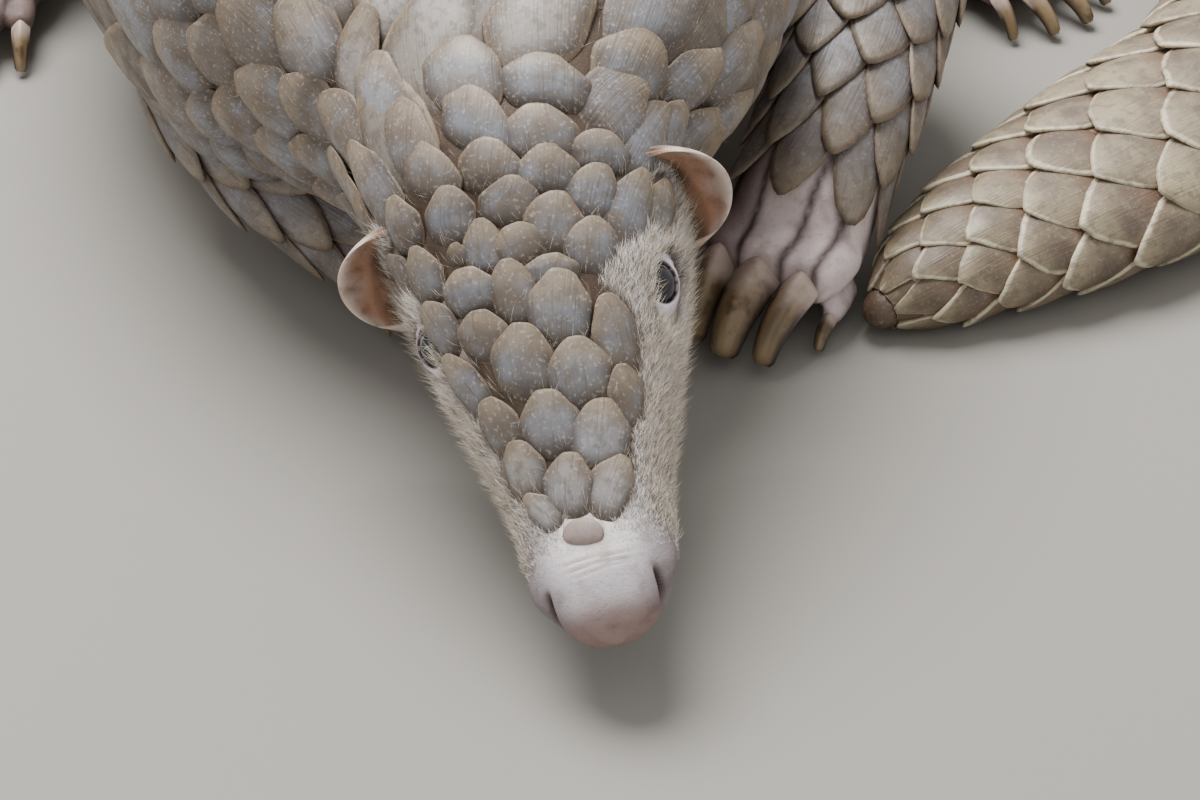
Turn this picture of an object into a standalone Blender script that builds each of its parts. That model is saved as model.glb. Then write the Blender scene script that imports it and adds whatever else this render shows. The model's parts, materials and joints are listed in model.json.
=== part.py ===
"""A life-size Chinese pangolin resting on its belly, its head low and its tail curled round to its left.

Metres, +Z up. The origin is the middle of the flat on which the belly rests. The head looks towards -Y.
The body, tail and legs are tubes round bent paths. Their scales are part of the tube's own surface:
every scale is a diamond of the surface whose front corner lies low and whose free hind corner stands high.
"""

import math
import random
from collections import namedtuple
from functools import lru_cache

import bmesh
import bpy
from mathutils import Matrix, Vector

CM = 0.01
GAP = 0.0003
UP = Vector((0.0, 0.0, 1.0))

# The head's place: its nose tip and how it is turned, pitched nose down and rolled left side up.
NOSE_TIP = Vector((4.75, -21.5, 1.6)) * CM
HEAD_YAW = math.radians(11.5)
HEAD_PITCH = math.radians(25.0)
HEAD_ROLL = math.radians(19.0)
HEAD_END = 9.5 * CM

Station = namedtuple("Station", "x y z half up down roll square")
HeadSize = namedtuple("HeadSize", "back half up down square")

# The head's sizes in centimetres, by the distance behind the nose tip.
HEAD_SIZES = [
    HeadSize(0.0, 0.06, 0.05, 0.05, 2.0),
    HeadSize(0.07, 0.36, 0.26, 0.28, 2.0),
    HeadSize(0.28, 0.70, 0.50, 0.52, 2.1),
    HeadSize(0.8, 1.10, 0.78, 0.82, 2.2),
    HeadSize(1.4, 1.34, 0.93, 0.98, 2.3),
    HeadSize(2.1, 1.34, 1.04, 1.10, 2.2),
    HeadSize(3.2, 1.50, 1.30, 1.32, 2.1),
    HeadSize(4.7, 1.90, 1.75, 1.66, 2.1),
    HeadSize(6.2, 2.32, 2.22, 2.00, 2.1),
    HeadSize(7.8, 2.66, 2.62, 2.30, 2.1),
    HeadSize(9.5, 3.10, 2.95, 2.60, 2.1),
]

# The trunk and tail in centimetres, with the roll in degrees, that the neck still has from the head.
BODY_SIZES = [
    Station(2.95, -11.2, 6.05, 4.35, 3.35, 2.8, 14.0, 2.1),
    Station(2.55, -8.7, 6.30, 5.7, 4.5, 3.6, 8.0, 2.1),
    Station(1.50, -5.5, 6.20, 6.5, 5.8, 5.8, 3.0, 2.1),
    Station(0.00, -0.3, 6.00, 6.9, 6.8, 6.4, 0.0, 2.2),
    Station(0.60, 4.6, 5.80, 6.7, 6.8, 6.2, 0.0, 2.2),
    Station(2.60, 8.2, 5.20, 5.9, 6.1, 5.6, 0.0, 2.1),
    Station(5.80, 10.6, 4.10, 4.9, 4.6, 4.5, 0.0, 2.0),
    Station(9.30, 11.7, 2.90, 4.2, 3.3, 3.2, 0.0, 1.9),
    Station(13.8, 11.0, 2.00, 3.65, 2.35, 2.3, 0.0, 1.85),
    Station(18.0, 7.9, 1.60, 3.40, 2.05, 1.9, 0.0, 1.8),
    Station(20.3, 2.7, 1.45, 3.20, 1.85, 1.7, 0.0, 1.8),
    Station(18.8, -2.7, 1.30, 2.95, 1.65, 1.5, 0.0, 1.8),
    Station(14.5, -6.8, 1.15, 2.45, 1.35, 1.3, 0.0, 1.8),
    Station(11.4, -9.15, 0.90, 1.43, 1.00, 1.03, 0.0, 1.9),
    Station(10.5, -9.9, 0.74, 0.90, 0.72, 0.78, 0.0, 2.0),
    Station(10.05, -10.25, 0.62, 0.38, 0.38, 0.42, 0.0, 2.0),
]
TRUNK_END_STATION = 7


def head_frame():
    """Returns the head's axes: towards the nose, towards its left side and up through its crown."""
    flat = math.cos(HEAD_PITCH)
    ahead = Vector((math.sin(HEAD_YAW) * flat, -math.cos(HEAD_YAW) * flat, -math.sin(HEAD_PITCH)))
    level = Vector((math.cos(HEAD_YAW), math.sin(HEAD_YAW), 0.0))
    crown = level.cross(ahead)
    left = level * math.cos(HEAD_ROLL) + crown * math.sin(HEAD_ROLL)
    return ahead, left, ahead.cross(left) * -1.0


def head_stations():
    """Returns the head's sizes as stations on its straight axis, in centimetres."""
    ahead = head_frame()[0]
    stations = []
    for size in HEAD_SIZES:
        at = NOSE_TIP / CM - ahead * size.back
        stations.append(Station(*at, size.half, size.up, size.down, math.degrees(HEAD_ROLL), size.square))
    return stations


class Tube:
    """A closed form round a bent path, read at any distance along it and at any column round it.

    Column 0 is the middle of the back, and columns count to the left. Within the scaled columns they are
    evenly wide, and the bare rest of the girth is shared out evenly below them.
    """

    SAMPLES = 36

    def __init__(self, stations, columns, scaled_columns, covered, reference=UP):
        self.columns = columns
        self.scaled_columns = scaled_columns
        self.covered = covered
        self.reference = Vector(reference)
        places = [Vector(station[:3]) for station in stations]
        self.knots = [0.0]
        for before, after in zip(places, places[1:]):
            self.knots.append(self.knots[-1] + (after - before).length * CM)
        self.values = [[value * CM for value in station[:6]] + list(station[6:]) for station in stations]
        self.slopes = [self._slope(index) for index in range(len(stations))]
        self.section = lru_cache(maxsize=None)(self._section)

    def _slope(self, index):
        """Returns how fast each value changes at a station, by a parabola through it and its neighbours."""
        knots, values, last = self.knots, self.values, len(self.knots) - 1
        if index in (0, last):
            near = min(index, last - 1)
            span = knots[near + 1] - knots[near]
            return [(b - a) / span for a, b in zip(values[near], values[near + 1])]
        before, after = knots[index] - knots[index - 1], knots[index + 1] - knots[index]
        slope = []
        for a, b, c in zip(values[index - 1], values[index], values[index + 1]):
            slope.append(((b - a) / before * after + (c - b) / after * before) / (before + after))
        return slope

    @property
    def length(self):
        """The path's length."""
        return self.knots[-1]

    def _read(self, along):
        """Returns the values and the heading at a distance along the path."""
        along = min(max(along, 0.0), self.length)
        index = 0
        while index < len(self.knots) - 2 and along > self.knots[index + 1]:
            index += 1
        span = self.knots[index + 1] - self.knots[index]
        f = (along - self.knots[index]) / span
        start, rise, end, fall = 2 * f**3 - 3 * f**2 + 1, f**3 - 2 * f**2 + f, 3 * f**2 - 2 * f**3, f**3 - f**2
        dstart, drise, dfall = 6 * f**2 - 6 * f, 3 * f**2 - 4 * f + 1, 3 * f**2 - 2 * f
        rows = zip(self.values[index], self.slopes[index], self.values[index + 1], self.slopes[index + 1])
        values, changes = [], []
        for a, slope_a, b, slope_b in rows:
            values.append(start * a + rise * slope_a * span + end * b + fall * slope_b * span)
            changes.append(dstart * (a - b) / span + drise * slope_a + dfall * slope_b)
        return values, Vector(changes[:3]).normalized()

    def _section(self, along):
        """Returns the middle, side and up axes, half outline and its running length at a distance."""
        values, heading = self._read(along)
        middle, (half, up, down, roll, square) = Vector(values[:3]), values[3:]
        level_up = (self.reference - heading * self.reference.dot(heading)).normalized()
        level_side = heading.cross(level_up)
        turn = math.radians(roll)
        side = level_side * math.cos(turn) + level_up * math.sin(turn)
        top = level_up * math.cos(turn) - level_side * math.sin(turn)
        outline = []
        for sample in range(self.SAMPLES + 1):
            angle = math.pi * sample / self.SAMPLES
            across = half * abs(math.sin(angle)) ** (2 / square)
            height = abs(math.cos(angle)) ** (2 / square)
            outline.append((across, up * height if angle < math.pi / 2 else -down * height))
        outline[0], outline[-1] = (0.0, up), (0.0, -down)
        lengths = [0.0]
        for a, b in zip(outline, outline[1:]):
            lengths.append(lengths[-1] + math.dist(a, b))
        return middle, side, top, outline, lengths

    def arc(self, along, column):
        """Returns how far round from the middle of the back a column is, as a length."""
        girth = self.section(along)[4][-1]
        edge, cover = self.scaled_columns(along), self.covered(along)
        if abs(column) <= edge:
            return column / edge * cover * girth
        beyond = (abs(column) - edge) / (self.columns / 2 - edge)
        return math.copysign(girth * (cover + (1 - cover) * beyond), column)

    def at_arc(self, along, arc, lift=0.0):
        """Returns the point of the surface that far round from the back, raised by lift."""
        middle, side, top, outline, lengths = self.section(along)
        far = min(abs(arc), lengths[-1] * 0.999999)
        index = 0
        while lengths[index + 1] < far:
            index += 1
        f = (far - lengths[index]) / (lengths[index + 1] - lengths[index])
        (ax, ay), (bx, by) = outline[index], outline[index + 1]
        slope = Vector((bx - ax, by - ay)).normalized()
        across = ax + (bx - ax) * f - slope.y * lift
        height = ay + (by - ay) * f + slope.x * lift
        point = middle + side * math.copysign(across, arc if arc else 1.0) + top * height
        point.z = max(point.z, 0.0)
        return point

    def point(self, along, column, lift=0.0):
        """Returns the point of the surface at a column, raised by lift."""
        return self.at_arc(along, self.arc(along, column), lift)

    def normal(self, along, arc):
        """Returns the outward direction of the surface."""
        step = 0.05 * CM
        ahead = self.at_arc(along + step, arc) - self.at_arc(along - step, arc)
        round_it = self.at_arc(along, arc + step) - self.at_arc(along, arc - step)
        normal = round_it.cross(ahead).normalized()
        outward = self.at_arc(along, arc) - self.section(along)[0]
        return normal if normal.dot(outward) > 0 else -normal


def blend(table, at):
    """Returns a value that runs smoothly between the (place, value) pairs of a table."""
    if at <= table[0][0]:
        return table[0][1]
    for (a, low), (b, high) in zip(table, table[1:]):
        if at <= b:
            f = (at - a) / (b - a)
            return low + (high - low) * f * f * (3 - 2 * f)
    return table[-1][1]


def scatter(ring, column, salt):
    """Returns a fixed random number from -1 to 1 for one scale."""
    return random.Random(ring * 7919 + column * 104729 + salt * 31).uniform(-1.0, 1.0)


class Shingles:
    """The scales of a tube: staggered rows whose spacing and thickness change along it."""

    BULGE = 0.13
    OVERHANG = 0.22
    VARIATION = 0.05

    def __init__(self, tube, rings, thick, bare=lambda point, ring, column: False):
        self.tube = tube
        self.rings = rings
        self.thick = thick
        self.bare = bare
        self.half = tube.columns // 2

    def wrapped(self, column):
        """Returns the column as a number from minus half the columns up to half of them."""
        return (column + self.half) % self.tube.columns - self.half

    @lru_cache(maxsize=None)
    def scaled(self, ring, column):
        """Tells whether the diamond centred there is a scale."""
        along = self.rings[ring]
        if abs(column) > self.tube.scaled_columns(along) + 0.01:
            return False
        return not self.bare(self.tube.point(along, column), ring, column)

    def level(self, owner, corner):
        """Returns how high a diamond holds one of its corners: 0 flush, 1 at its sides, 2 at its free tip.

        A side corner stays flush where the diamond before it is bare, so that two scales never meet in a
        lone upright edge.
        """
        if not self.scaled(owner[0], self.wrapped(owner[1])):
            return 0
        height = corner[0] - owner[0] + 1
        if height == 1 and corner[0] > 0 and not self.scaled(corner[0] - 1, self.wrapped(corner[1])):
            return 0
        return height

    def around(self, corner, first, last):
        """Returns the diamonds of the ring range that meet at a corner."""
        ring, column = corner
        places = [(ring - 1, column), (ring, column - 1), (ring, column + 1), (ring + 1, column)]
        kept = []
        for place in places:
            inside = first <= place[0] <= last
            behind = place[0] <= ring - 1 and ring - 1 < first
            ahead = place[0] >= ring + 1 and ring + 1 > last
            if inside and not behind and not ahead:
                kept.append(place)
        return kept

    def solid(self, first, last, tip_closed=False):
        """Returns a closed mesh of the rings from first to last, parted from the next by half the gap."""
        mesh, made = bmesh.new(), {}
        tube, rings = self.tube, self.rings

        def along_of(ring):
            if ring == first:
                return rings[ring] + GAP / 2
            if ring == last and not tip_closed:
                return rings[ring] - GAP / 2
            return rings[ring]

        def pitch(ring):
            return rings[min(ring + 1, len(rings) - 1)] - rings[min(ring, len(rings) - 2)]

        def corner_vertex(corner, level):
            ring, column = corner[0], self.wrapped(corner[1])
            key = (ring, column, level)
            if key not in made:
                along = along_of(ring)
                height = self.thick(along, column)
                lift = (0.0, 0.36 * height, height * (1 + 0.2 * scatter(ring, column, 1)))[level]
                if level == 2 and ring != last:
                    along += self.OVERHANG * pitch(ring)
                drift = self.VARIATION * scatter(ring, column, 2) if abs(column) < self.half else 0.0
                made[key] = mesh.verts.new(tube.point(along, column + drift, lift))
            return made[key]

        def centre_vertex(centre):
            ring, column = centre[0], self.wrapped(centre[1])
            key = (ring, column, "centre")
            if key not in made:
                along = along_of(ring)
                lift = 0.78 * self.thick(along, column) if self.scaled(ring, column) else 0.0
                made[key] = mesh.verts.new(tube.point(along, column, lift))
            return made[key]

        def edge_vertex(front, back, owner):
            """Returns the bulging middle of a diamond's edge, or None between two bare diamonds."""
            upper, lower = (front[0], back[1]), (back[0], front[1])
            covers = [self.scaled(place[0], self.wrapped(place[1])) for place in (upper, lower)]
            if not any(covers):
                return None
            level = (self.level(owner, front) + self.level(owner, back)) / 2
            key = (front[0], self.wrapped(front[1]), back[0], self.wrapped(back[1]), level)
            if key not in made:
                away = self.BULGE if covers[0] else 0.0
                along = along_of(front[0]) * (0.5 - away) + along_of(back[0]) * (0.5 + away)
                column = front[1] * (0.5 + away) + back[1] * (0.5 - away)
                height = self.thick(along, self.wrapped(round(column)))
                lift = height * (0.0, 0.18, 0.36, 0.78, 1.0)[round(level * 2)]
                if level == 1.5:
                    along += 0.4 * self.OVERHANG * pitch(front[0])
                made[key] = mesh.verts.new(tube.point(along, self.wrapped(column), lift))
            return made[key]

        def corner_ladder(corner, level_from, level_to):
            """Returns the corner's vertices from one level to another, through those in use between."""
            used = {self.level(owner, corner) for owner in self.around(corner, first, last)}
            step = 1 if level_to >= level_from else -1
            levels = [n for n in range(level_from, level_to + step, step)]
            ends = (level_from, level_to)
            return [corner_vertex(corner, n) for n in levels if n in ends or n in used]

        def add(vertices):
            unique = []
            for vertex in vertices:
                if vertex is not None and (not unique or vertex is not unique[-1]):
                    unique.append(vertex)
            if unique and unique[0] is unique[-1]:
                unique.pop()
            if len(unique) > 2:
                mesh.faces.new(unique)

        caps = {first: [], last: []}
        for ring in range(first, last + 1):
            for column in range(-self.half + (ring - self.half) % 2, self.half, 2):
                centre = (ring, column)
                left, right = (ring, column + 1), (ring, column - 1)
                front, back = (ring - 1, column), (ring + 1, column)
                middle = centre_vertex(centre)
                if ring > first:
                    for side in (left, right):
                        between = edge_vertex(front, side, centre)
                        start = corner_vertex(front, self.level(centre, front))
                        end = corner_vertex(side, self.level(centre, side))
                        add([middle, start, between] if between else [middle, start, end])
                        if between:
                            add([middle, between, end])
                if ring < last:
                    for side in (left, right):
                        between = edge_vertex(side, back, centre)
                        start = corner_vertex(side, self.level(centre, side))
                        end = corner_vertex(back, self.level(centre, back))
                        add([middle, start, between] if between else [middle, start, end])
                        if between:
                            add([middle, between, end])
                        self._wall(add, corner_ladder, edge_vertex, centre, side, back)
                if ring in caps:
                    beyond = (ring, column + 2)
                    caps[ring].append(middle)
                    caps[ring] += corner_ladder(left, self.level(centre, left), self.level(beyond, left))
        for ring, loop in caps.items():
            hub = mesh.verts.new(tube.section(along_of(ring))[0])
            for a, b in zip(loop, loop[1:] + loop[:1]):
                add([hub, a, b])
        bmesh.ops.remove_doubles(mesh, verts=mesh.verts[:], dist=0.00002)
        bmesh.ops.dissolve_degenerate(mesh, edges=mesh.edges[:], dist=0.00001)
        bmesh.ops.recalc_face_normals(mesh, faces=mesh.faces[:])
        bmesh.ops.triangulate(mesh, faces=mesh.faces[:])
        return mesh

    def _wall(self, add, corner_ladder, edge_vertex, centre, side, back):
        """Closes the step between a diamond's hind edge and the diamond under it."""
        under = (back[0], side[1])
        at_side = corner_ladder(side, self.level(centre, side), self.level(under, side))
        at_back = corner_ladder(back, self.level(under, back), self.level(centre, back))
        high, low = edge_vertex(side, back, centre), edge_vertex(side, back, under)
        if high is None or (high is low and len(at_side) == 1 and len(at_back) == 1):
            return
        if high is low:
            add([high] + at_side)
            add([high] + at_back)
            return
        add([high] + at_side + [low])
        add([low] + at_back + [high])


def ring_places(start, end, pitch):
    """Returns the rings' distances from start to end, spaced by the pitch at each place and fitted to the end."""
    places = [start]
    while places[-1] < end:
        places.append(places[-1] + pitch(places[-1]))
    stretch = (end - start) / (places[-1] - start)
    return [start + (place - start) * stretch for place in places]


def finish(name, mesh, colour, roughness):
    """Makes an object of a mesh, with its own material."""
    data = bpy.data.meshes.new(name)
    mesh.to_mesh(data)
    mesh.free()
    data.shade_smooth()
    data.set_sharp_from_angle(angle=math.radians(28.0))
    thing = bpy.data.objects.new(name, data)
    bpy.context.scene.collection.objects.link(thing)
    material = bpy.data.materials.new(name)
    material.use_nodes = True
    shader = material.node_tree.nodes["Principled BSDF"]
    shader.inputs["Base Color"].default_value = (*colour, 1.0)
    shader.inputs["Roughness"].default_value = roughness
    shader.inputs["Metallic"].default_value = 0.0
    data.materials.append(material)
    return thing


# Colour and roughness by the first word of a part's name. Every other part has the neck's scaly finish.
FINISHES = {
    "neck": ((0.30, 0.25, 0.20), 0.5),
    "head": ((0.62, 0.50, 0.44), 0.7),
    "foot": ((0.62, 0.50, 0.44), 0.7),
    "ear": ((0.55, 0.33, 0.25), 0.7),
    "eye": ((0.02, 0.02, 0.025), 0.1),
    "claw": ((0.45, 0.36, 0.26), 0.5),
}

# The trunk's rows: how many half-width columns are scaled on each side, how much of the girth they cover,
# how far apart the rows are and how high a scale's free tip stands.
TRUNK_COLUMNS = 26
TRUNK_SCALED = [(9.5 * CM, 6.1), (17.0 * CM, 9.0), (28.0 * CM, 9.0), (39.8 * CM, 5.1)]
TRUNK_COVERED = [(9.5 * CM, 0.60), (16.0 * CM, 0.67), (30.0 * CM, 0.67), (39.8 * CM, 0.82)]
TRUNK_PITCH = [(9.5 * CM, 0.80 * CM), (13.0 * CM, 1.10 * CM), (20.0 * CM, 1.62 * CM), (39.8 * CM, 1.70 * CM)]
TRUNK_THICK = [(9.5 * CM, 0.20 * CM), (16.0 * CM, 0.36 * CM), (39.8 * CM, 0.40 * CM)]
NECK_END = 13.4 * CM
TORSO_MIDDLE = 26.0 * CM

TAIL_COLUMNS = 12
TAIL_PITCH = [(39.8 * CM, 1.60 * CM), (56.0 * CM, 1.32 * CM), (66.0 * CM, 0.98 * CM), (72.0 * CM, 0.62 * CM)]
TAIL_THICK = [(39.8 * CM, 0.38 * CM), (60.0 * CM, 0.27 * CM), (72.0 * CM, 0.13 * CM)]
TAIL_EDGE_COLUMN = 3
TAIL_EDGE_GAIN = 1.9
TAIL_NODES = 4

LIMB_COLUMNS = 12
LIMB_SCALED = 4.0
LIMB_COVERED = 0.66
LIMB_PITCH = 1.12 * CM
LIMB_THICK = 0.23 * CM
FLOOR_CLEAR = 0.06 * CM

# Each limb runs from inside the trunk to its wrist or ankle, then down through the palm, in centimetres.
Limb = namedtuple("Limb", "name leg palm claws")
Claw = namedtuple("Claw", "across length thick splay drop")
FORE_CLAWS = [
    Claw(-1.32, 0.7, 0.18, -6.0, 0.95),
    Claw(-1.05, 1.8, 0.43, 7.0, 0.08),
    Claw(0.0, 2.0, 0.53, 0.0, 0.08),
    Claw(1.05, 1.8, 0.43, -7.0, 0.08),
    Claw(1.32, 0.7, 0.18, 6.0, 0.95),
]
HIND_CLAWS = [
    Claw(-1.30, 0.9, 0.22, -14.0, 0.08),
    Claw(-0.68, 1.4, 0.28, -6.0, 0.08),
    Claw(0.0, 1.6, 0.30, 0.0, 0.08),
    Claw(0.68, 1.4, 0.28, 6.0, 0.08),
    Claw(1.30, 0.9, 0.22, 14.0, 0.08),
]
LIMBS = [
    Limb(
        "front_left",
        [
            Station(4.4, -1.9, 5.2, 2.3, 2.2, 2.2, 0.0, 2.0),
            Station(7.8, -0.9, 4.9, 2.1, 2.0, 2.0, 0.0, 2.0),
            Station(9.9, -2.5, 4.2, 1.85, 1.75, 1.75, 0.0, 2.0),
            Station(9.6, -5.4, 3.4, 1.6, 1.5, 1.5, 0.0, 2.0),
            Station(8.8, -7.95, 2.45, 1.45, 1.25, 1.25, 0.0, 2.0),
        ],
        [
            Station(8.54, -8.45, 2.10, 1.42, 1.15, 1.9, 0.0, 2.1),
            Station(8.30, -8.87, 1.75, 1.44, 0.95, 2.0, 0.0, 2.4),
            Station(8.06, -9.28, 1.50, 1.40, 0.72, 1.5, 0.0, 2.5),
        ],
        FORE_CLAWS,
    ),
    Limb(
        "front_right",
        [
            Station(0.9, -2.6, 4.8, 2.2, 2.2, 2.2, 0.0, 2.0),
            Station(-2.1, -3.3, 4.3, 2.0, 2.0, 2.0, 0.0, 2.0),
            Station(-3.3, -5.2, 3.6, 1.75, 1.7, 1.7, 0.0, 2.0),
            Station(-1.9, -7.6, 2.4, 1.5, 1.35, 1.35, 0.0, 2.0),
            Station(0.3, -9.2, 1.55, 1.4, 1.0, 1.2, 0.0, 2.0),
        ],
        [
            Station(1.0, -9.6, 1.35, 1.5, 0.9, 1.4, 0.0, 2.1),
            Station(1.6, -9.95, 1.15, 1.6, 0.75, 1.3, 0.0, 2.4),
            Station(2.05, -10.35, 1.0, 1.5, 0.6, 1.1, 0.0, 2.6),
        ],
        FORE_CLAWS,
    ),
    Limb(
        "hind_left",
        [
            Station(3.9, 6.2, 4.9, 2.9, 3.0, 3.0, 0.0, 2.0),
            Station(7.4, 4.8, 4.4, 2.8, 2.8, 2.8, 0.0, 2.0),
            Station(10.1, 4.3, 3.4, 2.3, 2.2, 2.2, 0.0, 2.0),
            Station(11.8, 3.6, 2.2, 1.7, 1.6, 1.6, 0.0, 2.0),
        ],
        [
            Station(12.5, 3.2, 1.6, 1.65, 1.2, 1.5, 0.0, 2.1),
            Station(13.2, 2.6, 1.15, 1.65, 0.9, 1.2, 0.0, 2.2),
            Station(13.6, 2.2, 0.95, 1.45, 0.7, 0.9, 0.0, 2.2),
        ],
        HIND_CLAWS,
    ),
    Limb(
        "hind_right",
        [
            Station(-1.4, 5.6, 4.9, 2.9, 3.0, 3.0, 0.0, 2.0),
            Station(-4.8, 6.2, 4.4, 2.8, 2.8, 2.8, 0.0, 2.0),
            Station(-7.2, 5.2, 3.4, 2.3, 2.2, 2.2, 0.0, 2.0),
            Station(-8.4, 3.5, 2.2, 1.7, 1.6, 1.6, 0.0, 2.0),
        ],
        [
            Station(-8.9, 2.3, 1.6, 1.65, 1.2, 1.5, 0.0, 2.1),
            Station(-9.2, 1.2, 1.15, 1.65, 0.9, 1.2, 0.0, 2.2),
            Station(-9.35, 0.5, 0.95, 1.45, 0.7, 0.9, 0.0, 2.2),
        ],
        HIND_CLAWS,
    ),
]
PALM_RINGS = 5
PALM_SIDES = 12
CLAW_SIDES = 6
CLAW_RINGS = 5
CLAW_DROOP = math.radians(34.0)
CLAW_TAPER = 0.42
CLAW_TIP_SPARE = 0.02 * CM
CLAW_FLAT = 0.9
CLAW_BOW = math.pi / 2.4
NUDGES = 8
SLIVERS = (0.003 * CM, 0.001 * CM, 0.0004 * CM)
NUDGE = 0.002 * CM
NUDGE_WAY = Vector((0.8, 0.5, 0.3))
TOE_REACH = 0.50 * CM
TOE_ROOT = 0.50 * CM


def grown(mesh, distance):
    """Returns a copy of a closed mesh whose faces all lie that much further out."""
    copy = mesh.copy()
    moves = [(vertex, vertex.normal * distance * min(vertex.calc_shell_factor(), 2.0)) for vertex in copy.verts]
    for vertex, move in moves:
        vertex.co += move
    return copy


def clear_of(meshes, way):
    """Returns cutters that leave a gap to closed meshes: each mesh twice, once moved the way of the gap."""
    cutters = []
    for mesh in meshes:
        moved = mesh.copy()
        bmesh.ops.translate(moved, verts=moved.verts[:], vec=way)
        cutters += [mesh.copy(), moved]
    return cutters


def combine(name, mesh, joined=(), removed=()):
    """Returns a mesh after one union with some closed meshes and the cuts of others.

    Faces that meet edge on edge can leave a pinched edge. The pieces are then nudged a very little at a
    time until the result is a plain closed surface.
    """
    for nudge in range(NUDGES):
        combined = combine_once(name, mesh, joined, removed, NUDGE * nudge)
        if closed(combined):
            break
    for piece in (mesh, *joined, *removed):
        piece.free()
    return combined


def closed(mesh):
    """Tells whether every edge of a mesh is shared by exactly two faces."""
    return all(edge.is_manifold for edge in mesh.edges)


def without_slivers(mesh):
    """Returns the mesh with its shortest edges merged away, or as it was where that would open it."""
    for sliver in SLIVERS:
        tidied = mesh.copy()
        bmesh.ops.remove_doubles(tidied, verts=tidied.verts[:], dist=sliver)
        bmesh.ops.dissolve_degenerate(tidied, edges=tidied.edges[:], dist=sliver)
        bmesh.ops.triangulate(tidied, faces=tidied.faces[:])
        if closed(tidied):
            mesh.free()
            return tidied
        tidied.free()
    return mesh


def combine_once(name, mesh, joined, removed, nudge):
    """Returns the union and cuts of copies of the meshes, with the pieces moved by a nudge."""
    result = object_of(name, mesh.copy())
    for kind, pieces in (("UNION", joined), ("DIFFERENCE", removed)):
        if not pieces:
            continue
        group = bpy.data.collections.new(name + "_" + kind)
        for number, piece in enumerate(pieces):
            copy = piece.copy()
            bmesh.ops.translate(copy, verts=copy.verts[:], vec=NUDGE_WAY * nudge * (1 + 0.1 * number))
            thing = object_of(name + "_piece", copy)
            bpy.context.scene.collection.objects.unlink(thing)
            group.objects.link(thing)
        bpy.context.scene.collection.children.link(group)
        cut = result.modifiers.new(kind, "BOOLEAN")
        cut.operation = kind
        cut.solver = "MANIFOLD"
        cut.operand_type = "COLLECTION"
        cut.collection = group
        flat = bpy.data.meshes.new_from_object(result.evaluated_get(bpy.context.evaluated_depsgraph_get()))
        result.modifiers.clear()
        result.data = flat
        for thing in list(group.objects):
            bpy.data.objects.remove(thing, do_unlink=True)
        bpy.data.collections.remove(group)
    combined = bmesh.new()
    combined.from_mesh(result.data)
    bpy.data.objects.remove(result, do_unlink=True)
    keep_largest(combined)
    bmesh.ops.triangulate(combined, faces=combined.faces[:])
    return combined


def block_behind(middle, side, top, size):
    """Returns a closed block whose front face lies on the plane of a section, facing away from the nose."""
    behind = top.cross(side)
    mesh = bmesh.new()
    bmesh.ops.create_cube(mesh, size=size)
    turn = Matrix((side, top, behind)).transposed().to_4x4()
    bmesh.ops.transform(mesh, matrix=Matrix.Translation(middle + behind * size / 2) @ turn, verts=mesh.verts[:])
    bmesh.ops.recalc_face_normals(mesh, faces=mesh.faces[:])
    bmesh.ops.triangulate(mesh, faces=mesh.faces[:])
    return mesh


def object_of(name, mesh):
    """Makes a plain object of a mesh."""
    data = bpy.data.meshes.new(name)
    mesh.to_mesh(data)
    mesh.free()
    thing = bpy.data.objects.new(name, data)
    bpy.context.scene.collection.objects.link(thing)
    bpy.context.view_layer.update()
    return thing


def keep_largest(mesh):
    """Removes all but the largest connected surface of a mesh."""
    waiting, groups = set(mesh.verts), []
    while waiting:
        group, edge = set(), [waiting.pop()]
        while edge:
            vertex = edge.pop()
            group.add(vertex)
            for link in vertex.link_edges:
                other = link.other_vert(vertex)
                if other in waiting:
                    waiting.discard(other)
                    edge.append(other)
        groups.append(group)
    groups.sort(key=len)
    scraps = [vertex for group in groups[:-1] for vertex in group]
    bmesh.ops.delete(mesh, geom=scraps, context="VERTS")


def loft(tube, places, sides):
    """Returns a closed smooth mesh of a tube's sections, with a pole at an end that closes."""
    mesh, rings = bmesh.new(), []
    for along in places:
        girth = tube.section(along)[4][-1]
        arcs = [2 * girth * (side / sides) - girth for side in range(sides)]
        rings.append([mesh.verts.new(tube.at_arc(along, arc)) for arc in arcs])
    for before, after in zip(rings, rings[1:]):
        for side in range(sides):
            beside = (side + 1) % sides
            mesh.faces.new((before[side], before[beside], after[beside], after[side]))
    for ring, along in ((rings[0], places[0]), (rings[-1], places[-1])):
        hub = mesh.verts.new(tube.section(along)[0])
        for side in range(sides):
            mesh.faces.new((hub, ring[side], ring[(side + 1) % sides]))
    bmesh.ops.remove_doubles(mesh, verts=mesh.verts[:], dist=0.00002)
    bmesh.ops.dissolve_degenerate(mesh, edges=mesh.edges[:], dist=0.00001)
    bmesh.ops.recalc_face_normals(mesh, faces=mesh.faces[:])
    return mesh


def build_trunk():
    """Returns the trunk's meshes by name, and the tube of the whole spine."""
    stations = head_stations() + BODY_SIZES
    spine = Tube(
        stations,
        TRUNK_COLUMNS,
        lambda along: blend(TRUNK_SCALED, along),
        lambda along: blend(TRUNK_COVERED, along),
    )
    end = spine.knots[len(HEAD_SIZES) + TRUNK_END_STATION]
    rings = ring_places(HEAD_END, end, lambda along: blend(TRUNK_PITCH, along))
    shingles = Shingles(spine, rings, lambda along, column: blend(TRUNK_THICK, along), under_a_limb)
    splits = [0] + [nearest(rings, place) for place in (NECK_END, TORSO_MIDDLE)] + [len(rings) - 1]
    names = ("neck", "torso_front", "torso_rear")
    return {name: shingles.solid(a, b) for name, a, b in zip(names, splits, splits[1:])}, spine


def nearest(rings, place):
    """Returns the number of the ring nearest to a distance."""
    return min(range(len(rings)), key=lambda ring: abs(rings[ring] - place))


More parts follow.
